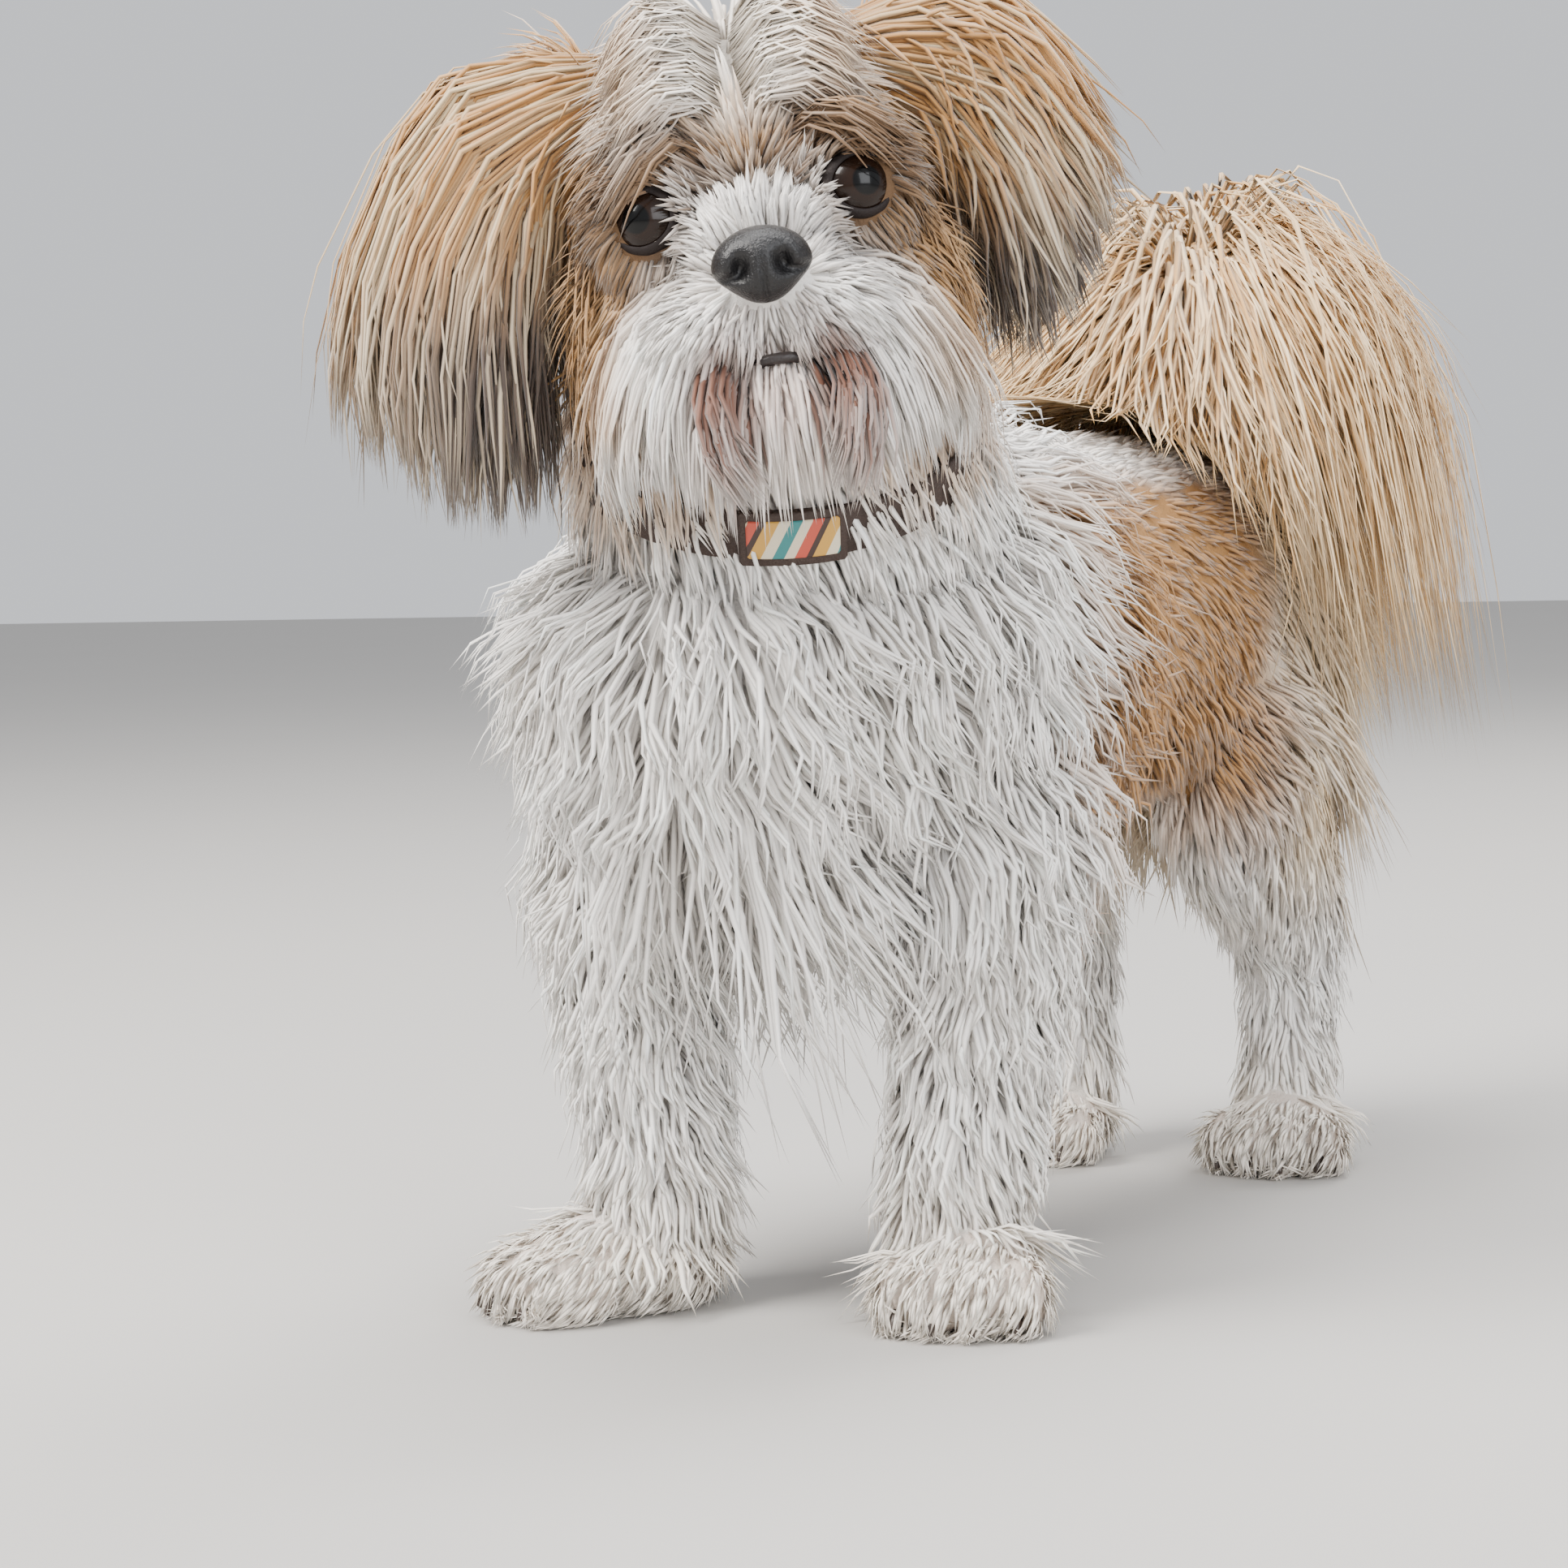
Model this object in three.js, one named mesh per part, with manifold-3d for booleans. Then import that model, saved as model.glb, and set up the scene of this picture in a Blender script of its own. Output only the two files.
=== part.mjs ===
// A gold and white shih tzu in a soft pet trim, standing with its head turned to its left, in millimetres.
// +Z is up, the body faces -Y and the dog's left is +X. The floor is z = 0.
import * as THREE from "three";
import { mergeVertices } from "three/addons/utils/BufferGeometryUtils.js";
import Module from "manifold-3d";

const wasm = await Module();
wasm.setup();

// Driving sizes
const BACK_TOP = 272; // floor to the coat on the back
const TRUNK_WIDE = 152; // across the flanks
const TRUNK_DEEP = 146; // back to belly
const CHEST_FRONT = -204;
const RUMP_END = 172;
const CHEST_CUT = -62; // where chest, flank and rump part
const RUMP_CUT = 66;
const EYE_GAP = 54; // between the middles of the eyes
const EYE_RADIUS = 10.5;
const SKULL_WIDE = 96;
const HEAD_TURN = 30.6; // degrees, to the dog's left
const HEAD_LEAN = 7.7; // degrees, towards the dog's right shoulder
const SKULL_AT = [31, -197, 331];
const PART_GAP = 0.3; // between neighbouring solids
const SOLE_TRIM = 0; // level of the soles

const V = (x, y, z) => new THREE.Vector3(x, y, z);
const UP = V(0, 0, 1);
const LEFT = V(1, 0, 0);

// A small seeded generator, so that every build gives the same coat.
const SEED = 20240517;
let seed = SEED;
function random(low = 0, high = 1) {
  seed = (seed * 1664525 + 1013904223) % 4294967296;
  return low + ((high - low) * seed) / 4294967296;
}

// Turns each face round when the closed surface encloses a negative volume.
function facingOut(geometry) {
  const p = geometry.attributes.position;
  const index = geometry.index.array;
  const [a, b, c] = [V(0, 0, 0), V(0, 0, 0), V(0, 0, 0)];
  let six = 0;
  for (let i = 0; i < index.length; i += 3) {
    a.fromBufferAttribute(p, index[i]);
    b.fromBufferAttribute(p, index[i + 1]);
    c.fromBufferAttribute(p, index[i + 2]);
    six += a.dot(b.cross(c));
  }
  if (six < 0)
    for (let i = 0; i < index.length; i += 3)
      [index[i + 1], index[i + 2]] = [index[i + 2], index[i + 1]];
  return geometry;
}

// A closed surface over rings of equal count. A last ring of one point is a tip.
function skinOver(rings) {
  const count = rings[0].length;
  const points = rings.flat();
  const faces = [];
  for (let r = 0; r + 1 < rings.length; r++)
    for (let i = 0; i < count; i++) {
      const j = (i + 1) % count;
      const [a, b] = [r * count + i, r * count + j];
      if (rings[r + 1].length === 1) faces.push(a, b, (r + 1) * count);
      else faces.push(a, b, b + count, a, b + count, a + count);
    }
  const close = (start, flip) => {
    for (let i = 1; i + 1 < count; i++)
      faces.push(start, start + (flip ? i + 1 : i), start + (flip ? i : i + 1));
  };
  close(0, true);
  if (rings[rings.length - 1].length > 1) close((rings.length - 1) * count, false);
  const geometry = new THREE.BufferGeometry().setFromPoints(points);
  geometry.setIndex(faces);
  return facingOut(geometry);
}

function solid(geometry) {
  const bare = geometry.clone();
  bare.deleteAttribute("normal");
  bare.deleteAttribute("uv");
  const merged = facingOut(mergeVertices(bare, 1e-4));
  return new wasm.Manifold(
    new wasm.Mesh({
      numProp: 3,
      vertProperties: merged.attributes.position.array,
      triVerts: new Uint32Array(merged.index.array),
    }),
  );
}

const joined = (solids) => wasm.Manifold.union(solids);

// A body of round section carried along a smooth line. Each station is [x, y, z, half width, half depth].
class Tube {
  constructor(stations, { across = LEFT, square = 2, place = null } = {}) {
    const line = stations.map(([x, y, z]) => V(x, y, z));
    const size = stations.map((s) => V(s[3], s[4], 0));
    this.line = new THREE.CatmullRomCurve3(line);
    this.size = new THREE.CatmullRomCurve3(size);
    this.across = across;
    this.square = square;
    this.place = place;
  }
  // Past either end the line runs straight on.
  point(share, angle, grow = 0) {
    const t = THREE.MathUtils.clamp(share, 0, 1);
    const middle = this.line.getPoint(t);
    const along = this.line.getTangent(t);
    middle.addScaledVector(along, (share - t) * this.line.getLength());
    const side = this.across.clone().addScaledVector(along, -this.across.dot(along));
    side.normalize();
    const deep = side.clone().cross(along).normalize();
    const size = this.size.getPoint(t);
    const power = 2 / this.square;
    const bend = (v) => Math.sign(v) * Math.abs(v) ** power;
    middle.addScaledVector(side, bend(Math.cos(angle)) * (Math.max(size.x, 1) + grow));
    middle.addScaledVector(deep, bend(Math.sin(angle)) * (Math.max(size.y, 1) + grow));
    return this.place ? middle.applyMatrix4(this.place) : middle;
  }
  normal(t, angle) {
    const [dt, da] = [0.01, 0.05];
    const u = this.point(Math.min(t + dt, 1), angle).sub(this.point(Math.max(t - dt, 0), angle));
    const v = this.point(t, angle + da).sub(this.point(t, angle - da));
    const n = u.cross(v).normalize();
    const centre = this.line.getPoint(THREE.MathUtils.clamp(t, 0, 1));
    if (this.place) centre.applyMatrix4(this.place);
    return n.dot(this.point(t, angle).sub(centre)) < 0 ? n.negate() : n;
  }
  // Moves a ring along the line.
  lengthen(ring, t, by) {
    const along = this.line.getTangent(t);
    if (this.place) along.transformDirection(this.place);
    for (const p of ring) p.addScaledVector(along, by);
  }
  solid(steps, sides, grow = 0, from = 0, to = 1, depth = () => 0) {
    const rings = [];
    for (let r = 0; r <= steps; r++) {
      const t = from + ((to - from) * r) / steps;
      const ring = [];
      for (let i = 0; i < sides; i++)
        ring.push(this.point(t, (2 * Math.PI * (i + 0.5)) / sides, grow - depth(t)));
      rings.push(ring);
    }
    this.lengthen(rings[0], from, -grow);
    this.lengthen(rings[steps], to, grow);
    return solid(skinOver(rings));
  }
}

// An egg: a sphere stretched to three half sizes, then turned and placed.
class Egg {
  constructor(centre, half, place = null, turn = [0, 0, 0]) {
    this.centre = V(...centre);
    this.half = V(...half);
    this.turn = new THREE.Euler(...turn.map((d) => THREE.MathUtils.degToRad(d)));
    this.place = place;
  }
  // Longitude runs from the dog's left to its back, latitude from the middle to the top.
  point(longitude, latitude, grow = 0) {
    const way = V(
      Math.cos(latitude) * Math.cos(longitude),
      Math.cos(latitude) * Math.sin(longitude),
      Math.sin(latitude),
    );
    const p = way.multiply(this.half.clone().addScalar(grow)).applyEuler(this.turn).add(this.centre);
    return this.place ? p.applyMatrix4(this.place) : p;
  }
  normal(longitude, latitude) {
    const step = 0.02;
    const u = this.point(longitude + step, latitude).sub(this.point(longitude - step, latitude));
    const v = this.point(longitude, latitude + step).sub(this.point(longitude, latitude - step));
    return u.cross(v).normalize();
  }
  grown(by) {
    const larger = Object.create(this);
    larger.half = this.half.clone().addScalar(by);
    return larger;
  }
  solid(grow = 0, around = 16, high = 10) {
    const g = new THREE.SphereGeometry(1, around, high);
    g.rotateX(Math.PI / 2);
    g.scale(this.half.x + grow, this.half.y + grow, this.half.z + grow);
    g.applyMatrix4(new THREE.Matrix4().makeRotationFromEuler(this.turn));
    g.translate(this.centre.x, this.centre.y, this.centre.z);
    if (this.place) g.applyMatrix4(this.place);
    return solid(g);
  }
}

const GOLDEN = 0.618034;
// Share of the way along a lock, and share of the coat's depth that it lies under there.
const RISE = [
  [0, 2],
  [0.3, 0.5],
  [0.65, 0.12],
  [1, 0],
];

// One flat, tapered lock of hair along a smooth line of points, with its broad face towards `face`.
const LOCK_SHAPE = [0.75, 1, 0.92, 0.6];
function lock(points, wide, thick, face, grow = 0, rings = 3) {
  const line = new THREE.CatmullRomCurve3(points);
  const made = [];
  for (let r = 0; r < rings; r++) {
    const t = (r / rings) * 0.98;
    const along = line.getTangent(t);
    const side = along.clone().cross(face).normalize();
    const out = side.clone().cross(along).normalize();
    const share = LOCK_SHAPE[Math.round((r * (LOCK_SHAPE.length - 1)) / (rings - 1))];
    const [w, h] = [wide * share + 2.5 * grow, thick * share + grow];
    const middle = line.getPoint(t);
    if (r === 0) middle.addScaledVector(along, -grow);
    made.push([
      middle.clone().addScaledVector(side, w).addScaledVector(out, -h / 2),
      middle.clone().addScaledVector(out, h),
      middle.clone().addScaledVector(side, -w).addScaledVector(out, -h / 2),
    ]);
  }
  const tip = line.getPoint(1).addScaledVector(line.getTangent(1), 3 * grow);
  made.push([tip]);
  return solid(skinOver(made));
}

// Locks over a form whose surface is at their tips. Each rises out of the coat's depth while it runs
// along the lie, which is a step in the surface's own two directions.
function coat(form, g, { count, first, second, lie, depth, wide, thick, rings = 3, sink = 5 }) {
  const made = [];
  for (let i = 0; i < count; i++) {
    const u = THREE.MathUtils.lerp(first[0], first[1], (i + random(0.2, 0.8)) / count);
    const v = THREE.MathUtils.lerp(second[0], second[1], ((i * GOLDEN) % 1) * 0.96 + random(0, 0.04));
    const [du, dv] = lie(u, v).map((step) => step * random(0.88, 1.12));
    const points = RISE.map(([along, under]) => {
      const deep = under > 1 ? depth + sink : depth * under;
      return form.point(u + du * along, v + dv * along, -deep - thick * 0.6);
    });
    made.push(lock(points, wide * random(0.85, 1.15), thick, form.normal(u, v), g, rings));
  }
  return made;
}

// Head frame: x to the dog's left, -y out through the nose, z through the crown.
const headPlace = new THREE.Matrix4()
  .makeTranslation(...SKULL_AT)
  .multiply(new THREE.Matrix4().makeRotationZ(THREE.MathUtils.degToRad(HEAD_TURN)))
  .multiply(new THREE.Matrix4().makeRotationY(THREE.MathUtils.degToRad(-HEAD_LEAN)));
const inHead = (x, y, z) => V(x, y, z).applyMatrix4(headPlace);
const headWay = (x, y, z) => V(x, y, z).transformDirection(headPlace);

// Trunk: one smooth body, parted at two cuts.
const [TW, TD] = [TRUNK_WIDE / 2, TRUNK_DEEP / 2];
const TRUNK_MID = BACK_TOP - TD;
const trunk = new Tube(
  [
    [0, CHEST_FRONT, TRUNK_MID - 8, 0.5 * TW, 0.48 * TD],
    [0, CHEST_FRONT + 10, TRUNK_MID - 7, 0.86 * TW, 0.78 * TD],
    [0, CHEST_FRONT + 40, TRUNK_MID - 5, 1.14 * TW, 0.99 * TD],
    [0, -120, TRUNK_MID - 3, 1.2 * TW, 1.07 * TD],
    [0, CHEST_CUT, TRUNK_MID - 1, 1.07 * TW, TD],
    [0, 0, TRUNK_MID, TW, 0.97 * TD],
    [0, RUMP_CUT, TRUNK_MID + 1, 0.97 * TW, 0.94 * TD],
    [0, 115, TRUNK_MID + 1, 0.92 * TW, 0.9 * TD],
    [0, 150, TRUNK_MID, 0.76 * TW, 0.8 * TD],
    [0, RUMP_END - 4, TRUNK_MID - 2, 0.5 * TW, 0.56 * TD],
    [0, RUMP_END, TRUNK_MID - 2, 0.24 * TW, 0.28 * TD],
  ],
  { square: 2.25 },
);
const TRUNK_STATIONS = 10;
const [CHEST_END, FLANK_END] = [4 / TRUNK_STATIONS, 6 / TRUNK_STATIONS];

const neck = new Tube([
  [5, -128, 222, 68, 66],
  [11, -148, 248, 63, 63],
  [17, -166, 272, 58, 59],
  [22, -178, 294, 50, 52],
]);


// Legs: stations run from inside the trunk down to the wrist or hock.
const foreLeft = new Tube([
  [44, -112, 190, 32, 40],
  [55, -114, 140, 32, 37],
  [55, -118, 105, 28, 31],
  [52, -122, 70, 25, 27],
  [49, -125, 42, 24, 25],
  [48, -126, 24, 22, 23],
]);
const foreRight = new Tube([
  [-44, -118, 190, 32, 40],
  [-55, -126, 140, 32, 37],
  [-52, -138, 105, 28, 31],
  [-45, -144, 70, 25, 27],
  [-42, -146, 42, 24, 25],
  [-43, -147, 24, 22, 23],
]);
const hindLeft = new Tube([
  [36, 96, 190, 34, 50],
  [41, 100, 150, 33, 50],
  [42, 116, 118, 29, 38],
  [41, 138, 86, 25, 27],
  [39, 144, 55, 22, 24],
  [38, 142, 24, 22, 24],
]);
const hindRight = new Tube([
  [-36, 96, 190, 34, 50],
  [-43, 98, 150, 33, 50],
  [-44, 112, 118, 29, 38],
  [-44, 130, 86, 25, 27],
  [-44, 136, 55, 22, 24],
  [-44, 134, 24, 22, 24],
]);

// A paw: a low rounded body with four toes, on a flat sole.
function paw(heelX, heelY, degrees, long, wide, high, grow) {
  const turn = THREE.MathUtils.degToRad(degrees);
  const ahead = V(Math.sin(turn), -Math.cos(turn), 0);
  const side = V(Math.cos(turn), Math.sin(turn), 0);
  const at = (forward, over, up) =>
    V(heelX, heelY, up).addScaledVector(ahead, forward).addScaledVector(side, over).toArray();
  const turned = [0, 0, degrees];
  const body = new Egg(at(long * 0.34, 0, high * 0.42), [wide / 2, long * 0.42, high * 0.62], null, turned);
  const pieces = [body.solid(grow, 10, 5)];
  for (let i = 0; i < 4; i++) {
    const over = (i - 1.5) * wide * 0.27;
    const forward = long * (i === 1 || i === 2 ? 0.72 : 0.62);
    const toe = new Egg(at(forward, over, high * 0.33), [wide * 0.18, long * 0.24, high * 0.42], null, turned);
    pieces.push(toe.solid(grow, 6, 4));
  }
  return joined(pieces).trimByPlane([0, 0, 1], SOLE_TRIM);
}
const PAWS = {
  forepaw_left: [53, -118, 16, 52, 50, 34],
  forepaw_right: [-31, -138, -44, 76, 48, 34],
  hindpaw_left: [39, 150, 8, 52, 50, 32],
  hindpaw_right: [-44, 142, -6, 52, 50, 32],
};

// Head
const SW = SKULL_WIDE / 2;
const skull = new Egg([0, 4, 3], [SW + 4, 52, 51], headPlace);
const brow = new Egg([0, -22, 4], [40, 26, 26], headPlace);
const cheekLeft = new Egg([26, -20, -34], [26, 30, 30], headPlace);
const cheekRight = new Egg([-26, -20, -34], [26, 30, 30], headPlace);
const muzzle = new Egg([0, -44, -34], [23, 22, 15], headPlace);
const lipLeft = new Egg([17, -44, -44], [19, 19, 17], headPlace, [0, 0, 18]);
const lipRight = new Egg([-17, -44, -44], [19, 19, 17], headPlace, [0, 0, -18]);
const jaw = new Egg([0, -38, -62], [21, 21, 19], headPlace);
const NOSE = [0, -68, -30];
const noseEgg = new Egg(NOSE, [12.5, 8, 9.5], headPlace);
const eyeAt = (sign) => [(sign * EYE_GAP) / 2, -39, -12];
const eye = (sign) => new Egg(eyeAt(sign), [EYE_RADIUS, EYE_RADIUS, EYE_RADIUS], headPlace);

// Lids: a rim round the front of each eye, as a torus stretched wide.
function lids(sign, grow) {
  const g = new THREE.TorusGeometry(EYE_RADIUS * 0.96, 2.6 + grow, 5, 12);
  g.rotateX(Math.PI / 2);
  g.scale(1.06, 1, 0.92);
  const [x, y, z] = eyeAt(sign);
  g.translate(x, y - 5, z);
  g.applyMatrix4(headPlace);
  return solid(g);
}

function nostrils() {
  const holes = [-1, 1].map((sign) => {
    const mouth = [sign * 5.4, NOSE[1] - 7, NOSE[2] - 1];
    return new Egg(mouth, [2.4, 5, 2.9], headPlace, [0, 0, sign * -25]).solid(0, 6, 5);
  });
  return joined(holes);
}

// Ears: a hanging leaf of skin with a cup on its inner side, and long hair that hangs from it.
const EAR_LEAF = [
  [36, 6, 30, 8, 14],
  [54, 6, 29, 8, 20],
  [68, 5, 12, 8, 23],
  [76, 4, -10, 7, 22],
  [78, 3, -32, 5, 13],
];
const EAR_HAIR = {
  1: [
    [40, 8, 36, 12, 20],
    [57, 6, 27, 19, 28],
    [71, 6, 4, 22, 32],
    [79, 4, -22, 23, 32],
    [72, 2, -50, 18, 26],
    [64, 0, -72, 10, 18],
  ],
  "-1": [
    [-40, 8, 36, 12, 20],
    [-62, 6, 28, 22, 28],
    [-76, 6, 4, 26, 32],
    [-88, 4, -26, 29, 34],
    [-84, 2, -56, 22, 28],
    [-76, 0, -80, 11, 18],
  ],
};
const EAR_LOCKS = 10;
function ear(sign, g) {
  const leafLine = EAR_LEAF.map(([x, ...rest]) => [sign * x, ...rest]);
  const leaf = new Tube(leafLine, { across: headWay(1, 0, 0), place: headPlace });
  const hair = new Tube(EAR_HAIR[sign], { across: headWay(1, 0, 0), place: headPlace });
  const cup = new Egg([sign * 58, -8, -2], [9, 12, 22], headPlace, [0, sign * -18, 0]);
  const made = [leaf.solid(7, 10, g).subtract(cup.solid(-g, 10, 8))];
  for (let i = 0; i < EAR_LOCKS; i++) {
    const t = 0.1 + (0.75 * i) / EAR_LOCKS;
    const angle = 2 * Math.PI * ((i * GOLDEN) % 1);
    const end = Math.min(t + random(0.42, 0.55), 1);
    const points = [
      leaf.point(t, angle, -4),
      hair.point(t + (end - t) * 0.35, angle, -6),
      hair.point(t + (end - t) * 0.7, angle, -3),
      hair.point(end, angle + random(-0.2, 0.2), -2),
    ];
    made.push(lock(points, random(10, 13), 2.6, hair.normal(t + 0.1, angle), g));
  }
  return joined(made);
}

// Tail: carried up and forward over the back, its plume falling to both sides and ahead.
const tailStem = new Tube([
  [0, 140, 240, 15, 15],
  [2, 158, 270, 14, 14],
  [8, 160, 298, 13, 13],
  [14, 146, 310, 12, 12],
  [20, 120, 310, 10, 10],
  [26, 92, 300, 7, 7],
]);
const TAIL_CUT = 0.55;
const PLUME = {
  rear: { count: 7, from: 0.25, to: 0.52, out: [[20, 32, 16], [50, 50, -34], [60, 50, -112]] },
  left: { count: 7, from: 0.57, to: 0.98, out: [[24, 2, 16], [58, 6, -30], [66, 8, -124]] },
  right: { count: 5, from: 0.57, to: 0.98, out: [[-30, 6, 14], [-78, 12, -30], [-92, 16, -104]] },
  ahead: { count: 4, from: 0.6, to: 0.98, out: [[2, -30, 12], [6, -78, -2], [10, -122, -16]] },
};
function plume(name, g) {
  const { count, from, to, out } = PLUME[name];
  const made = [];
  for (let i = 0; i < count; i++) {
    const share = (i + 0.5) / count;
    const t = from + (to - from) * share;
    const root = tailStem.line.getPoint(t);
    const long = random(0.82, 1.08);
    const fan = name === "rear" ? -1.9 + 2.6 * ((i * GOLDEN) % 1) : random(-0.25, 0.25);
    const points = out.map(([x, y, z], k) => {
      const way = V(x, y, z * (k ? 1 : 0.7)).multiplyScalar(long);
      way.applyAxisAngle(UP, name === "rear" ? -fan * 0.55 : fan);
      return root.clone().add(way);
    });
    const face = V(...out[0]).add(V(0, 0, 30)).normalize();
    made.push(lock([root, ...points], random(16, 22), 3.4, face, g));
  }
  return made;
}

const tailPart = (from, to, names, g) =>
  joined([tailStem.solid(5, 10, g, from, to), ...names.flatMap((name) => plume(name, g))]);

// Collar: a strap round the neck, with a striped slide at the throat.
const COLLAR = { centre: [15, -158, 260], lean: 30, radius: 58, high: 15, thick: 2.2 };
const collarPlace = new THREE.Matrix4()
  .makeTranslation(...COLLAR.centre)
  .multiply(new THREE.Matrix4().makeRotationZ(THREE.MathUtils.degToRad(HEAD_TURN)))
  .multiply(new THREE.Matrix4().makeRotationX(THREE.MathUtils.degToRad(COLLAR.lean)));
function strap(inner, outer, high, from = 0, span = 2 * Math.PI, sides = 26) {
  const profile = [
    new THREE.Vector2(inner, -high / 2),
    new THREE.Vector2(outer, -high / 2),
    new THREE.Vector2(outer, high / 2),
    new THREE.Vector2(inner, high / 2),
  ];
  if (span >= 2 * Math.PI - 1e-6) {
    const g = new THREE.LatheGeometry([...profile, profile[0]], sides);
    g.rotateX(Math.PI / 2);
    return solid(g.applyMatrix4(collarPlace));
  }
  const rings = [];
  for (let i = 0; i <= sides; i++) {
    const a = from + (span * i) / sides;
    rings.push(profile.map((p) => V(Math.cos(a) * p.x, Math.sin(a) * p.x, p.y).applyMatrix4(collarPlace)));
  }
  return solid(skinOver(rings));
}
function collarSeat() {
  const g = new THREE.CylinderGeometry(COLLAR.radius + 1, COLLAR.radius + 1, COLLAR.high * 0.8, 26);
  g.rotateX(Math.PI / 2);
  return solid(g.applyMatrix4(collarPlace));
}
const FRONT = -Math.PI / 2 + 0.06;
const SLIDE_SPAN = 0.5;
const SLIDE_THICK = 2.6;
const STRAP_OUT = COLLAR.radius + COLLAR.thick;
function collarStrap(g) {
  return strap(COLLAR.radius - g, STRAP_OUT + g, COLLAR.high + 2 * g);
}
function collarSlide(g) {
  const [inner, outer] = [STRAP_OUT + PART_GAP - g, STRAP_OUT + PART_GAP + SLIDE_THICK + g];
  const span = SLIDE_SPAN + (2 * g) / STRAP_OUT;
  return strap(inner, outer, COLLAR.high + 2 + 2 * g, FRONT - span / 2, span, 8);
}

// Head: the flesh with its lids, crown hair parted down the middle, and hair hanging on the cheeks.
const CROWN_DEPTH = 14;
const sideOf = (longitude) => Math.sign(Math.cos(longitude)) || 1;
function head(g) {
  const flesh = [
    skull.solid(g - CROWN_DEPTH / 2, 16, 10),
    ...[brow, cheekLeft, cheekRight].map((e) => e.solid(g, 12, 6)),
    lids(1, g),
    lids(-1, g),
  ];
  const crown = coat(skull, g, {
    count: 12,
    first: [-Math.PI * 1.5, Math.PI / 2],
    second: [0.35, 1.35],
    lie: (u, v) => [0.35 * sideOf(u), -0.75 - 0.1 * v],
    depth: CROWN_DEPTH,
    wide: 11,
    thick: 2.6,
  });
  const cheeks = [cheekLeft, cheekRight].flatMap((cheek, i) =>
    coat(cheek.grown(7), g, {
      count: 3,
      first: i ? [-Math.PI * 1.15, -Math.PI * 0.75] : [-Math.PI * 0.25, Math.PI * 0.15],
      second: [-0.4, 0.6],
      lie: () => [i ? -0.3 : 0.3, -0.95],
      depth: 8,
      wide: 9,
      thick: 2.2,
    }),
  );
  return joined([...flesh, ...crown, ...cheeks]);
}

// Upper lip and moustache, which parts under the nose and sweeps out and down.
const MOUSTACHE_LOCKS = 5;
function muzzleNode(g) {
  const made = [muzzle, lipLeft, lipRight].map((e) => e.solid(g, 12, 6));
  for (const sign of [-1, 1])
    for (let i = 0; i < MOUSTACHE_LOCKS; i++) {
      const share = i / (MOUSTACHE_LOCKS - 1);
      const start = inHead(sign * (8 + 14 * share), -52 + 8 * share, -42 + 6 * share);
      const bend = inHead(sign * (24 + 18 * share), -58 + 16 * share, -50 + 10 * share);
      const hang = inHead(sign * (30 + 22 * share), -54 + 20 * share, -68 + 8 * share);
      const tip = inHead(sign * (30 + 24 * share) + random(-3, 3), -46 + 20 * share, -88 + 12 * share);
      made.push(lock([start, bend, hang, tip], random(7.5, 9.5), 2.2, headWay(sign * 0.5, -1, 0), g));
    }
  return joined(made);
}

// Lower lip, chin and beard.
const BEARD_LOCKS = 8;
function lowerJaw(g) {
  const made = [jaw.solid(g, 12, 8)];
  for (let i = 0; i < BEARD_LOCKS; i++) {
    const share = (i + 0.5) / BEARD_LOCKS;
    const x = 52 * (share - 0.5);
    const row = (i % 2) * 9;
    const start = inHead(x * 0.6, -46 + row, -60);
    const bend = inHead(x * 0.85, -60 + row * 1.6 + Math.abs(x) * 0.25, -70);
    const tip = inHead(x + random(-2, 2), -50 + row * 1.6, -94 + random(0, 6));
    made.push(lock([start, bend, tip], random(7, 9), 2.4, headWay(x / 60, -1, 0), g));
  }
  return joined(made);
}

const RUFF_DEPTH = 10;
const neckNode = (g) =>
  joined([
    neck.solid(5, 14, g, 0, 1, () => RUFF_DEPTH * 0.5),
    collarSeat(),
    ...coat(neck, g, {
      count: 6,
      first: [0.8, 0.45],
      second: [0, 2 * Math.PI],
      lie: () => [-0.6, 0.1],
      depth: RUFF_DEPTH,
      wide: 18,
      thick: 2.8,
    }),
  ]);

// Chest: waved locks that fall down the front and sides and hang between the forelegs.
const CHEST_DEPTH = 22;
const chestEgg = new Egg([0, -108, 190], [97, 103, 87]);
const FRINGE_LOCKS = 6;
function chest(g) {
  const hair = coat(chestEgg, g, {
    count: 24,
    first: [-Math.PI * 1.12, Math.PI * 0.12],
    second: [-0.95, 0.75],
    lie: (u) => [0.28 * sideOf(u) * Math.abs(Math.cos(u)) ** 2, -0.62],
    depth: CHEST_DEPTH,
    wide: 16,
    thick: 3.4,
  });
  for (let i = 0; i < FRINGE_LOCKS; i++) {
    const share = (i + 0.5) / FRINGE_LOCKS;
    const x = 60 * (share - 0.5);
    const y = -146 - 18 * Math.cos(x / 20) + (i % 2) * 24;
    const tip = V(x * 0.5, y + 8, 80 + Math.abs(x) * 0.5 + random(0, 8));
    const points = [V(x, y + 12, 142), V(x * 0.95, y - 2, 118), tip];
    hair.push(lock(points, random(10, 13), 3, V(0, -1, 0), g));
  }
  const thinned = (t) => 2 + 22 * Math.min(1, 1.8 * (1 - t / CHEST_END));
  const core = trunk.solid(8, 20, g, 0, CHEST_END, thinned);
  const breast = chestEgg.grown(-CHEST_DEPTH / 2).solid(g, 16, 10);
  return joined([core, breast.trimByPlane([0, -1, 0], -CHEST_CUT - g), ...hair]);
}

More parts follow.
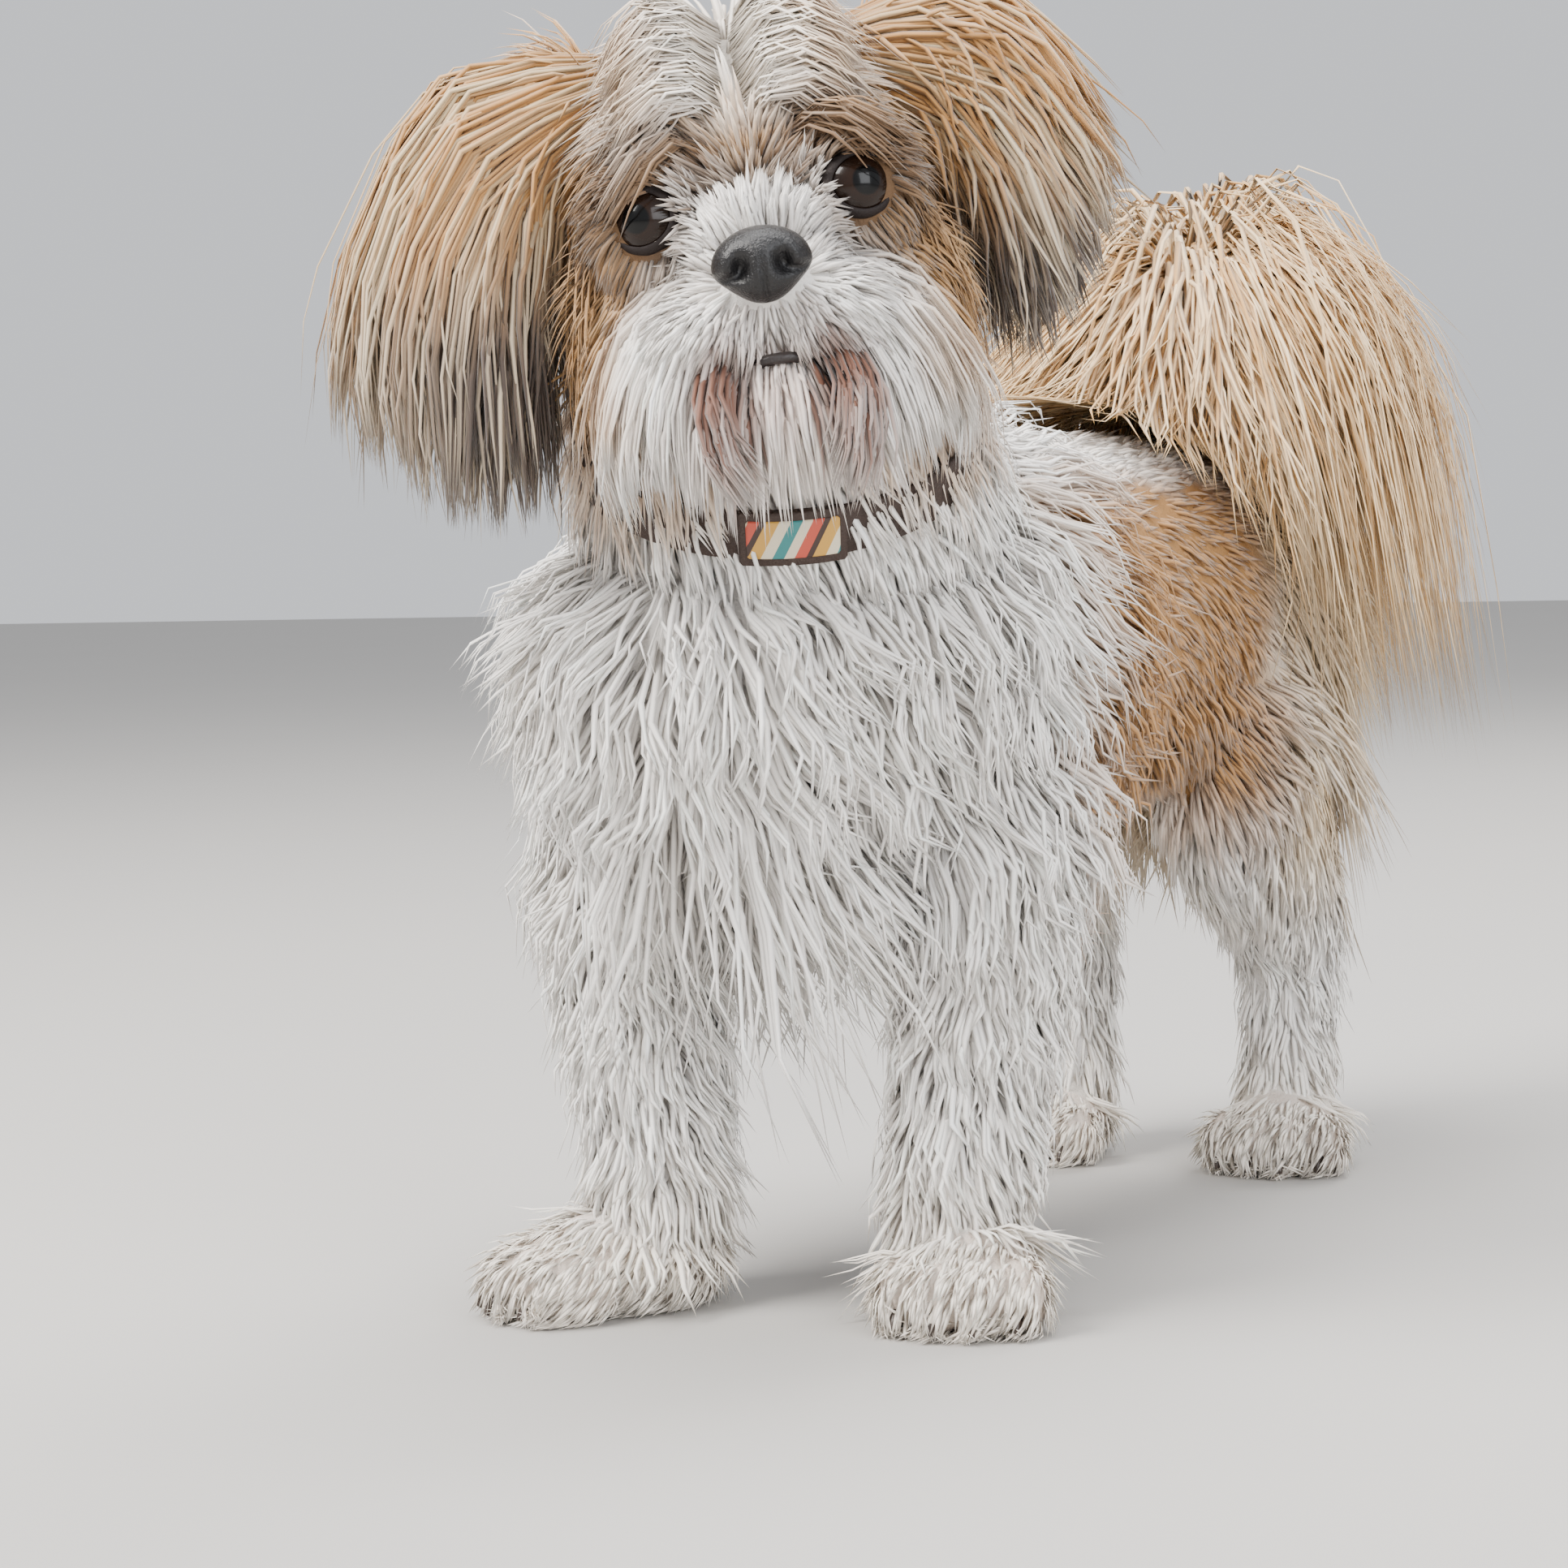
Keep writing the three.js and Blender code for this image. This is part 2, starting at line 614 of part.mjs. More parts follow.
// Rump: long breeches of hair that hang over both hips and behind.
const RUMP_DEPTH = 22;
const hips = new Egg([0, 108, 190], [88, 82, 130]);
function rump(g) {
  const hair = coat(hips, g, {
    count: 16,
    first: [-Math.PI * 0.3, Math.PI * 1.3],
    second: [-0.02, 0.34],
    lie: (u) => [0.12 * sideOf(u), -0.5],
    depth: RUMP_DEPTH,
    wide: 16,
    thick: 3.4,
  });
  const core = trunk.solid(7, 22, g, FLANK_END, 1, () => RUMP_DEPTH * 0.2);
  return joined([core, ...hair]);
}

// A leg with locks that hang along it, from the shoulder or hip to the wrist or hock.
const LEG_DEPTH = 8;
function leg(form, count, from, g) {
  return joined([
    form.solid(8, 12, g, 0, 1, () => LEG_DEPTH / 2),
    ...coat(form, g, {
      count,
      first: [from, 0.78],
      second: [0, 2 * Math.PI],
      lie: () => [0.24, 0.15],
      depth: LEG_DEPTH,
      wide: 12,
      thick: 2.8,
    }),
  ]);
}

const SPECS = [
  ["nose", (g) => noseEgg.solid(g, 12, 7)],
  ["eye_left", (g) => eye(1).solid(g, 12, 8)],
  ["eye_right", (g) => eye(-1).solid(g, 12, 8)],
  ["collar_slide", collarSlide],
  ["collar_strap", collarStrap],
  ["head", head],
  ["lower_jaw", lowerJaw],
  ["muzzle", muzzleNode],
  ["ear_left", (g) => ear(1, g)],
  ["ear_right", (g) => ear(-1, g)],
  ["flank", (g) => trunk.solid(4, 24, g, CHEST_END, FLANK_END)],
  ["rump", rump],
  ["chest", chest],
  ["neck", neckNode],
  ["tail_root", (g) => tailPart(0, TAIL_CUT, ["rear"], g)],
  ["tail_plume", (g) => tailPart(TAIL_CUT, 1, ["left", "right", "ahead"], g)],
  ...Object.entries(PAWS).map(([name, p]) => [name, (g) => paw(...p, g)]),
  ["foreleg_left", (g) => leg(foreLeft, 6, 0.3, g)],
  ["foreleg_right", (g) => leg(foreRight, 6, 0.3, g)],
  ["hindleg_left", (g) => leg(hindLeft, 5, 0.35, g)],
  ["hindleg_right", (g) => leg(hindRight, 5, 0.35, g)],
];

const COLOURS = {
  nose: [0x17181b, 0.38],
  eye_left: [0x15100d, 0.08],
  eye_right: [0x15100d, 0.08],
  collar_slide: [0x5f9c98, 0.7],
  collar_strap: [0x43352c, 0.75],
  ear_left: [0xb98f5c, 0.85],
  ear_right: [0xb98f5c, 0.85],
  head: [0xd2b488, 0.85],
  tail_root: [0xd9bd8e, 0.85],
  tail_plume: [0xd8b680, 0.85],
  flank: [0xb88a57, 0.85],
  rump: [0xc9a777, 0.85],
};
const WHITE_COAT = [0xeae4dc, 0.85];

// Keeps the largest closed surface of a cut or joined solid.
function largest(made) {
  const bodies = made.decompose();
  return bodies.reduce((best, b) => (b.volume() > best.volume() ? b : best));
}

function meshOf(name, made) {
  const m = made.getMesh();
  const position = new Float32Array(m.numVert * 3);
  for (let i = 0; i < m.numVert; i++)
    position.set(m.vertProperties.subarray(i * m.numProp, i * m.numProp + 3), i * 3);
  const geometry = new THREE.BufferGeometry();
  geometry.setAttribute("position", new THREE.BufferAttribute(position, 3));
  geometry.setIndex(new THREE.BufferAttribute(new Uint32Array(m.triVerts), 1));
  const [color, roughness] = COLOURS[name] ?? WHITE_COAT;
  const mesh = new THREE.Mesh(geometry, new THREE.MeshStandardMaterial({ color, roughness, metalness: 0 }));
  mesh.name = name;
  return mesh;
}

// Each node is cut clear of all those made before it.
const dog = new THREE.Group();
const grown = [];
for (const [name, make] of SPECS) {
  seed = SEED + grown.length;
  let made = make(0);
  if (name === "nose") made = made.subtract(nostrils());
  if (grown.length) made = made.subtract(joined(grown));
  if (made.isEmpty()) throw new Error(name + " is empty");
  dog.add(meshOf(name, largest(made)));
  seed = SEED + grown.length;
  grown.push(make(PART_GAP));
}

// The origin is under the middle of the whole dog, on the floor.
const box = new THREE.Box3().setFromObject(dog);
const middle = box.getCenter(V(0, 0, 0));
for (const mesh of dog.children) mesh.geometry.translate(-middle.x, -middle.y, -box.min.z);

export default dog;
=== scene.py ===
"""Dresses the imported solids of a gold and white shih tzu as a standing, long-coated dog."""

import math

import bpy
import numpy as np
from bpy.props import FloatProperty, FloatVectorProperty, IntProperty, PointerProperty
from mathutils import Matrix, Vector
from mathutils.bvhtree import BVHTree


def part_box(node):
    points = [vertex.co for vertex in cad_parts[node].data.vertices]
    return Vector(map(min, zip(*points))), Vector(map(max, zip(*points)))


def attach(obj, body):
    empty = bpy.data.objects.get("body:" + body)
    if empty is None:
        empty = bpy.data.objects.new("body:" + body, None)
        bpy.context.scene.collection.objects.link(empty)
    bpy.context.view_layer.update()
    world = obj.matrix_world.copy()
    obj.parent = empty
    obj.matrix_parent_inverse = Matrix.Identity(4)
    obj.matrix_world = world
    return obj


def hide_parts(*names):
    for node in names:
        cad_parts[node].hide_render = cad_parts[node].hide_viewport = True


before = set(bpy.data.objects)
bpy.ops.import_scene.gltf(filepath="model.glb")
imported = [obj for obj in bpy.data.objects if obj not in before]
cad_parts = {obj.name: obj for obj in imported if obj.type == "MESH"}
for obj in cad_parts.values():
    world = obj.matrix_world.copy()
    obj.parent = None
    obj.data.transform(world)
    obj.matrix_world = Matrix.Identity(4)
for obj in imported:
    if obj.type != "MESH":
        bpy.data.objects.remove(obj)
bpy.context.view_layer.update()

bl_info = {
    "name": "Long-coated small dog",
    "version": (1, 0, 0),
    "blender": (4, 5, 0),
    "location": "View3D > Sidebar > Dog",
    "description": "Skin, coat, eyes, nose, collar and stage of a standing shih tzu",
    "category": "Object",
}

# Sizes are in millimetres in the dog's own frame: x to its left, -y ahead, z up from the floor,
# with x = 0 on the middle of its back. The flank solid shows where that frame sits in the part.
MM = 0.001
CHEST_CUT = -62
FLANK_LOW, FLANK_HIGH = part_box("flank")
ORIGIN = np.array([(FLANK_LOW[0] + FLANK_HIGH[0]) / 2, FLANK_LOW[1] - CHEST_CUT * MM, 0.0])

BACK_TOP = 272
HALF_WIDE = 76
HALF_DEEP = 73
TRUNK_MID = BACK_TOP - HALF_DEEP
CHEST_FRONT = -204
RUMP_END = 172
SKULL_AT = np.array([31.0, -197.0, 331.0])
HEAD_TURN = math.radians(30.6)
HEAD_LEAN = math.radians(7.7)
EYE_RADIUS = 10.5
EYE_AT = np.array([27.0, -39.0, -12.0])
NOSE_AT = np.array([0.0, -68.0, -30.0])
NOSE_HALF = np.array([13.5, 14.0, 11.0])
SKULL_HALF = np.array([52.0, 52.0, 51.0])
CROWN_DEPTH = 14

UP = np.array([0.0, 0.0, 1.0])
LEFT = np.array([1.0, 0.0, 0.0])

# Everything stays this far above the floor, and the tufts a little farther.
FLOOR_GAP = 0.05
TUFT_GAP = 0.6
# Tufts start this deep in the skin, and their thickness is this share of their width.
ROOT_DEPTH = 1.2
BLADE_THICK = 0.36
# Width of a tuft's patch on the skin's map, and the range that its colours are kept in.
MAP_PATCH = 0.003
DARKEST, LIGHTEST = 0.003, 0.95
TOES = 4
# Added to the seed for the clumps and for the draws of each long piece.
CLUMP_SEED, EAR_SEED, PLUME_SEED, FACE_SEED = 50, 200, 300, 400
QUICK_SHARE, FEWEST_TUFTS = 0.35, 40
# Tufts and rings of the long pieces.
EAR_TUFTS, PLUME_TUFTS, LONG_RINGS = 3500, 3300, 7
FACE_TUFTS = dict(moustache=2900, beard=1800, stained=700, cheeks=3000, forehead=2400, bridge=900)
FULL_TURN = 2 * math.pi


def rotation(axis, angle):
    """Matrix of a turn about the axis numbered 0, 1 or 2."""
    c, s = math.cos(angle), math.sin(angle)
    i, j = (axis + 1) % 3, (axis + 2) % 3
    made = np.eye(3)
    made[i, i] = made[j, j] = c
    made[i, j], made[j, i] = -s, s
    return made


HEAD = rotation(2, HEAD_TURN) @ rotation(1, -HEAD_LEAN)


def from_head(points):
    """Head points (x to the dog's left, -y out through the nose, z through the crown) in the dog's frame."""
    return np.asarray(points) @ HEAD.T + SKULL_AT


def to_head(points):
    """Points of the dog's frame as head points."""
    return (np.asarray(points) - SKULL_AT) @ HEAD


def placed(points):
    """Dog's frame in millimetres to the part's frame in metres."""
    return np.asarray(points) * MM + ORIGIN


def rows(*columns):
    """Columns of numbers, some of them one number for all, as rows."""
    return np.stack(np.broadcast_arrays(*columns), -1)


def axes(points):
    """The x, y and z of points in an array of any shape."""
    return np.moveaxis(points, -1, 0)


def unit(vectors):
    return vectors / np.maximum(np.linalg.norm(vectors, axis=-1, keepdims=True), 1e-9)


def smooth(low, high, value):
    """0 below low, 1 above high, with an even S-curve between them."""
    t = np.clip((value - low) / (high - low), 0, 1)
    return t * t * (3 - 2 * t)


def mix(a, b, share):
    return a + (b - a) * share


def ripple(points, scale, seed):
    """Smooth noise between -1 and 1: a sum of six sine waves in seeded directions, about `scale` mm long."""
    rng = np.random.default_rng(seed)
    total = np.zeros(points.shape[:-1])
    for _ in range(6):
        way = unit(rng.normal(size=3)) * rng.uniform(0.7, 1.6)
        total += np.sin(points @ way * (FULL_TURN / scale) + rng.uniform(0, FULL_TURN))
    return total / 6


def wander(points, scale, seed):
    """Vectors of three ripples each, which turn slowly from place to place."""
    return rows(*(ripple(points, scale, seed + k) for k in range(3)))


def bend(ends, i, f):
    """Catmull-Rom formula at a share f of the way from the point after number i to the next one."""
    a, b, c, d = (ends(i + k) for k in range(4))
    return 0.5 * (2 * b + (c - a) * f + (2 * a - 5 * b + 4 * c - d) * f**2 + (3 * b - a - 3 * c + d) * f**3)


def along(stations, t):
    """Catmull-Rom curve through the stations, at shares t of their count."""
    keys = np.asarray(stations, float)
    last = len(keys) - 1
    pad = np.vstack([2 * keys[0] - keys[1], keys, 2 * keys[-1] - keys[-2]])
    u = np.clip(np.asarray(t, float), 0, 1) * last
    i = np.minimum(u.astype(int), last - 1)
    return bend(lambda n: pad[n], i, (u - i)[..., None])


def spline(keys, share):
    """Catmull-Rom curves through keys (strands by keys by three) at shares of each strand's own."""
    last = keys.shape[1] - 1
    pad = np.concatenate([2 * keys[:, :1] - keys[:, 1:2], keys, 2 * keys[:, -1:] - keys[:, -2:-1]], 1)
    u = np.clip(share, 0, 1) * last
    i = np.minimum(u.astype(int), last - 1)
    strand = np.arange(len(keys))[:, None]
    return bend(lambda n: pad[strand, n], i, (u - i)[..., None])


def shares(count, rings, rng):
    """Even shares from root to tip, with the ones between shifted at random so that bends don't line up."""
    s = np.tile(np.linspace(0, 1, rings), (count, 1))
    s[:, 1:-1] += rng.uniform(-0.2, 0.2, (count, rings - 2)) / (rings - 1)
    return s


class Tube:
    """A rounded section carried along stations [x, y, z, half width, half depth].

    A point is the line's place plus cos(a) half widths across and sin(a) half depths square to it,
    each raised to 2 / square so that a larger square fills the corners out.
    """

    def __init__(self, stations, across=LEFT, square=2.0, head=False):
        self.stations = np.asarray(stations, float)
        self.across = np.asarray(across, float)
        self.square = square
        self.head = head

    def point(self, t, angle, grow=0.0):
        t, angle, grow = np.broadcast_arrays(t, angle, grow)
        here = along(self.stations, t)
        step = 0.01
        ahead = unit(along(self.stations[:, :3], t + step) - along(self.stations[:, :3], t - step))
        side = unit(self.across - ahead * (ahead @ self.across)[..., None])
        deep = unit(np.cross(side, ahead))
        c, s = np.cos(angle), np.sin(angle)
        power = 2 / self.square
        wide = np.sign(c) * np.abs(c) ** power * (np.maximum(here[..., 3], 1) + grow)
        high = np.sign(s) * np.abs(s) ** power * (np.maximum(here[..., 4], 1) + grow)
        made = here[..., :3] + side * wide[..., None] + deep * high[..., None]
        return from_head(made) if self.head else made

    def grid(self, steps, sides, grow=0.0):
        t = np.linspace(0, 1, steps + 1)[:, None]
        a = FULL_TURN * (np.arange(sides) + 0.5)[None, :] / sides
        depth = grow(t) if callable(grow) else grow
        return self.point(t, a, depth)


def sphere(longitude, latitude):
    """Directions as longitude from the dog's left and latitude up from the middle."""
    level = np.cos(latitude)
    return rows(level * np.cos(longitude), level * np.sin(longitude), np.sin(latitude))


def sphere_grid(high, around, share):
    """Longitudes and latitudes of a grid that covers a share of the way to each pole."""
    latitude = np.linspace(-math.pi / 2 * share, math.pi / 2 * share, high + 1)[:, None]
    return np.broadcast_arrays(FULL_TURN * np.arange(around)[None, :] / around, latitude)


class Egg:
    """A sphere stretched to three half sizes, turned about the upright by degrees."""

    def __init__(self, centre, half, turn=0.0, head=True):
        self.centre, self.half = np.asarray(centre, float), np.asarray(half, float)
        self.turn = rotation(2, math.radians(turn))
        self.head = head

    def point(self, longitude, latitude, grow=0.0):
        longitude, latitude, grow = np.broadcast_arrays(longitude, latitude, grow)
        made = (sphere(longitude, latitude) * (self.half + grow[..., None])) @ self.turn.T + self.centre
        return from_head(made) if self.head else made

    def grid(self, high, around, grow=0.0):
        return self.point(*sphere_grid(high, around, 0.985), grow)


def ring_faces(count, sides, closed=False):
    """Triangles between rings that follow each other, also from the last to the first where closed."""
    index = np.arange(count * sides).reshape(count, sides)
    a = index if closed else index[:-1]
    b = np.roll(index, -1, 0) if closed else index[1:]
    a2, b2 = np.roll(a, -1, 1), np.roll(b, -1, 1)
    return np.stack([a, a2, b2, a, b2, b], -1).reshape(-1, 3)


def oriented(points, faces):
    """The faces of a closed mesh, turned round if they face inwards."""
    corners = points[faces] - points.mean(0)
    inwards = np.sum(corners[:, 0] * np.cross(corners[:, 1], corners[:, 2])) < 0
    return faces[:, ::-1] if inwards else faces


def capped(grid):
    """Vertices and triangles of a closed grid of rings, with a fan of its own over each end ring."""
    rings, sides, _ = grid.shape
    points = np.vstack([grid.reshape(-1, 3), grid[0].mean(0), grid[-1].mean(0)])
    near = np.arange(sides)
    far = near + (rings - 1) * sides
    start = np.stack([np.full(sides, rings * sides), np.roll(near, -1), near], -1)
    end = np.stack([np.full(sides, rings * sides + 1), far, np.roll(far, -1)], -1)
    return points, oriented(points, np.vstack([ring_faces(rings, sides), start, end]))


def joined(parts):
    """One array of points and one of faces from those of several parts."""
    starts = np.cumsum([0] + [len(points) for points, _ in parts])
    return np.vstack([points for points, _ in parts]), np.vstack([f + n for (_, f), n in zip(parts, starts)])


def read(items, name, width, kind=np.float32):
    """An attribute of a mesh's items, as rows of the width given."""
    values = np.zeros(len(items) * width, kind)
    items.foreach_get(name, values)
    return values.reshape(-1, width)


def mesh_object(name, points, faces):
    """A mesh object of triangles from arrays, in the part's frame, with nothing below the floor."""
    points = np.concatenate([points[:, :2], np.maximum(points[:, 2:], FLOOR_GAP)], 1)
    mesh = bpy.data.meshes.new(name)
    mesh.vertices.add(len(points))
    mesh.vertices.foreach_set("co", placed(points).astype(np.float32).ravel())
    mesh.loops.add(faces.size)
    mesh.loops.foreach_set("vertex_index", faces.astype(np.int32).ravel())
    mesh.polygons.add(len(faces))
    mesh.polygons.foreach_set("loop_start", np.arange(0, faces.size, faces.shape[1], dtype=np.int32))
    mesh.update(calc_edges=True)
    mesh.shade_smooth()
    thing = bpy.data.objects.new(name, mesh)
    bpy.context.scene.collection.objects.link(thing)
    return thing


def set_map(thing, name, places, faces):
    """A UV map from one place for each point."""
    layer = thing.data.uv_layers.new(name=name)
    layer.uv.foreach_set("vector", places[faces.ravel()].astype(np.float32).ravel())


def coloured(thing, colours):
    """Stores one colour for each vertex as the attribute Coat."""
    layer = thing.data.attributes.new("Coat", "FLOAT_COLOR", "POINT")
    rgba = np.concatenate([colours, np.ones((len(colours), 1))], 1)
    layer.data.foreach_set("color", rgba.astype(np.float32).ravel())


def finished(thing, material, slot, *nodes):
    thing.data.materials.clear()
    thing.data.materials.append(material)
    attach(thing, "root")
    if nodes:
        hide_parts(*nodes)
    return thing


# Forms of the body, as the solids have them: x, y, z, half width and half depth at each station.
TRUNK = Tube(
    [
        [0, CHEST_FRONT, TRUNK_MID - 8, 0.5 * HALF_WIDE, 0.48 * HALF_DEEP],
        [0, CHEST_FRONT + 10, TRUNK_MID - 7, 0.86 * HALF_WIDE, 0.78 * HALF_DEEP],
        [0, CHEST_FRONT + 40, TRUNK_MID - 5, 1.14 * HALF_WIDE, 0.99 * HALF_DEEP],
        [0, -120, TRUNK_MID - 3, 1.2 * HALF_WIDE, 1.07 * HALF_DEEP],
        [0, CHEST_CUT, TRUNK_MID - 1, 1.07 * HALF_WIDE, HALF_DEEP],
        [0, 0, TRUNK_MID, HALF_WIDE, 0.97 * HALF_DEEP],
        [0, 66, TRUNK_MID + 1, 0.97 * HALF_WIDE, 0.94 * HALF_DEEP],
        [0, 115, TRUNK_MID + 1, 0.92 * HALF_WIDE, 0.9 * HALF_DEEP],
        [0, 150, TRUNK_MID, 0.76 * HALF_WIDE, 0.8 * HALF_DEEP],
        [0, RUMP_END - 4, TRUNK_MID - 2, 0.5 * HALF_WIDE, 0.56 * HALF_DEEP],
        [0, RUMP_END, TRUNK_MID - 2, 0.24 * HALF_WIDE, 0.28 * HALF_DEEP],
    ],
    square=2.25,
)
NECK = Tube(
    [[5, -128, 222, 68, 66], [11, -148, 248, 63, 63], [17, -166, 272, 58, 59], [22, -178, 294, 50, 52]]
)
LEGS = {
    "foreleg_left": Tube(
        [[44, -112, 190, 32, 40], [55, -114, 140, 32, 37], [55, -118, 105, 28, 31],
         [52, -122, 70, 25, 27], [49, -125, 42, 24, 25], [48, -126, 24, 22, 23]]
    ),
    "foreleg_right": Tube(
        [[-44, -118, 190, 32, 40], [-55, -126, 140, 32, 37], [-52, -138, 105, 28, 31],
         [-45, -144, 70, 25, 27], [-42, -146, 42, 24, 25], [-43, -147, 24, 22, 23]]
    ),
    "hindleg_left": Tube(
        [[36, 96, 190, 34, 50], [41, 100, 150, 33, 50], [42, 116, 118, 29, 38],
         [41, 138, 86, 25, 27], [39, 144, 55, 22, 24], [38, 142, 24, 22, 24]]
    ),
    "hindleg_right": Tube(
        [[-36, 96, 190, 34, 50], [-43, 98, 150, 33, 50], [-44, 112, 118, 29, 38],
         [-44, 130, 86, 25, 27], [-44, 136, 55, 22, 24], [-44, 134, 24, 22, 24]]
    ),
}
# Heel x and y, degrees the toes turn, length, width and height.
PAWS = {
    "forepaw_left": (53, -118, 16, 52, 50, 34),
    "forepaw_right": (-31, -138, -44, 76, 48, 34),
    "hindpaw_left": (39, 150, 8, 52, 50, 32),
    "hindpaw_right": (-44, 142, -6, 52, 50, 32),
}
TAIL = Tube(
    [[0, 140, 240, 15, 15], [2, 158, 270, 14, 14], [8, 160, 298, 13, 13],
     [14, 146, 310, 12, 12], [20, 120, 310, 10, 10], [26, 92, 300, 7, 7]]
)
# Stations of the left ear's leaf, in the head's frame.
EAR_LEAF = [
    [36, 6, 30, 8, 14], [54, 6, 29, 8, 20], [68, 5, 12, 8, 23], [76, 4, -10, 7, 22], [78, 3, -32, 5, 13],
]


def ear_leaf(sign):
    """The flat leaf of an ear, on the dog's left for 1 and its right for -1."""
    return Tube([[sign * x, *rest] for x, *rest in EAR_LEAF], head=True)


def toes(heel_x, heel_y, degrees, long, wide):
    """For each toe of a paw: its middle on the floor, the way ahead and the way to its side."""
    turn = math.radians(degrees)
    ahead = np.array([math.sin(turn), -math.cos(turn), 0])
    side = np.array([math.cos(turn), math.sin(turn), 0])
    for i in range(TOES):
        inner = 0 < i < TOES - 1
        forward = ahead * long * (0.7 if inner else 0.6)
        yield np.array([heel_x, heel_y, 0]) + forward + side * (i - 1.5) * wide * 0.24, ahead, side


def paw_forms(heel_x, heel_y, degrees, long, wide, high):
    """A low rounded body and four toes on the floor, in the dog's frame."""
    forms = []
    for middle, ahead, _ in toes(heel_x, heel_y, degrees, long, wide):
        forms.append(Egg(middle + UP * high * 0.32, [wide * 0.14, long * 0.2, high * 0.34], degrees, False))
    heel = np.array([heel_x, heel_y, 0])
    half = [wide / 2 - 5, long * 0.4, high * 0.5]
    return [Egg(heel + ahead * long * 0.34 + UP * high * 0.4, half, degrees, False), *forms]


# Forms of the head and how far each is thickened; the last of each side makes room for the eye.
HEAD_FORMS = [
    (Egg([0, 4, 3], SKULL_HALF), -CROWN_DEPTH),
    (Egg([0, -20, 2], [40, 26, 26]), -5),
    (Egg([0, -44, -33], [21, 22, 14]), -3),
    (Egg([0, -38, -62], [21, 21, 17]), -4),
]
for mirror in (1, -1):
    HEAD_FORMS += [
        (Egg([26 * mirror, -18, -34], [26, 30, 30]), -6),
        (Egg([15 * mirror, -46, -44], [17, 18, 15], 18 * mirror), -3),
        (Egg([27 * mirror, -36, -12], [15, 11.5, 15]), 0),
    ]


def trunk_depth(t):
    """Coat depth under the solids' tips, from the deep chest coat to the short flank."""
    return -(10 + 16 * (1 - smooth(0.15, 0.42, t)) + 2 * smooth(0.6, 0.8, t))


# What the coat needs to know of the skin, filled in once the skin is made.
SKIN = {}


class DOG_PG_sizes(bpy.types.PropertyGroup):
    skin_step: FloatProperty(
        name="Skin step", description="Size of a face of the skin", default=2.6 * MM, unit="LENGTH"
    )
    fill: FloatProperty(
        name="Coat fill", description="Share of the full number of tufts", default=1.0, min=0.05, max=1.2
    )
    seed: IntProperty(name="Seed", description="Start of every random draw of the coat", default=7)


def shade_setting(name, about, value):
    return FloatVectorProperty(name=name, description=about, subtype="COLOR", size=3, default=value)


class DOG_PG_colours(bpy.types.PropertyGroup):
    white: shade_setting("White", "White coat", (0.91, 0.89, 0.87))
    cream: shade_setting("Cream", "Pale cream coat", (0.86, 0.66, 0.39))
    gold: shade_setting("Gold", "Gold-tan coat", (0.45, 0.225, 0.07))
    rust: shade_setting("Rust", "Stain beside the mouth", (0.15, 0.055, 0.028))
    # Round the eyes this dark is in part painted shade under the brows.
    dark: shade_setting("Dark", "Dark tips of the ears and hair round the eyes", (0.055, 0.04, 0.034))
    skin: shade_setting("Skin", "Skin under the coat", (0.62, 0.47, 0.40))


def colour(name):
    return np.array(getattr(bpy.context.scene.dog_colours, name))


# Where the patch of gold on the flank fades in or out, in millimetres of the dog's frame.
PATCH_FRONT, PATCH_REAR = (-100, -84), (102, 66)
PATCH_TOP, PATCH_LOW, PATCH_SIDE = (252, 236), (100, 118), (18, 40)


def flank_gold(points):
    """Share of gold over the flanks: behind the shoulder, below the white back, ending at the thigh.
    It is the product of a fade on each side, with ripples along the edge."""
    x, y, z = axes(points)
    edge = ripple(points, 46, 3) * 9
    ends = smooth(*PATCH_FRONT, y + edge - 0.12 * (z - 190)) * smooth(*PATCH_REAR, y + edge)
    top = smooth(*PATCH_TOP, z + edge * 0.7)
    low = smooth(*PATCH_LOW, z + edge * 0.5 - 0.16 * np.abs(y + 45))
    return ends * top * low * smooth(*PATCH_SIDE, np.abs(x))


# Where the marks of the head fade in or out, in millimetres of the head's frame.
BLAZE_SIDE, BLAZE_LOW, BLAZE_BACK = (31, 12), (4, 14), (30, -6)
FAN_SIDE, FAN_TOP, FAN_BACK = (24, 15), (-2, -10), (-34, -44)
MUZZLE_EDGE, MUZZLE_BACK = (42, 30), (-8, -26)
# The first pair is where the dark round the eyes fades: dark hair, and in part painted shade under the brows.
EYE_DARK_AND_SHADE_EDGE, STAIN_EDGE, CHIN_EDGE, CHIN_BACK = (36, 15), (11, 3), (17, 9), (-28, -38)
STAIN_RING = 17


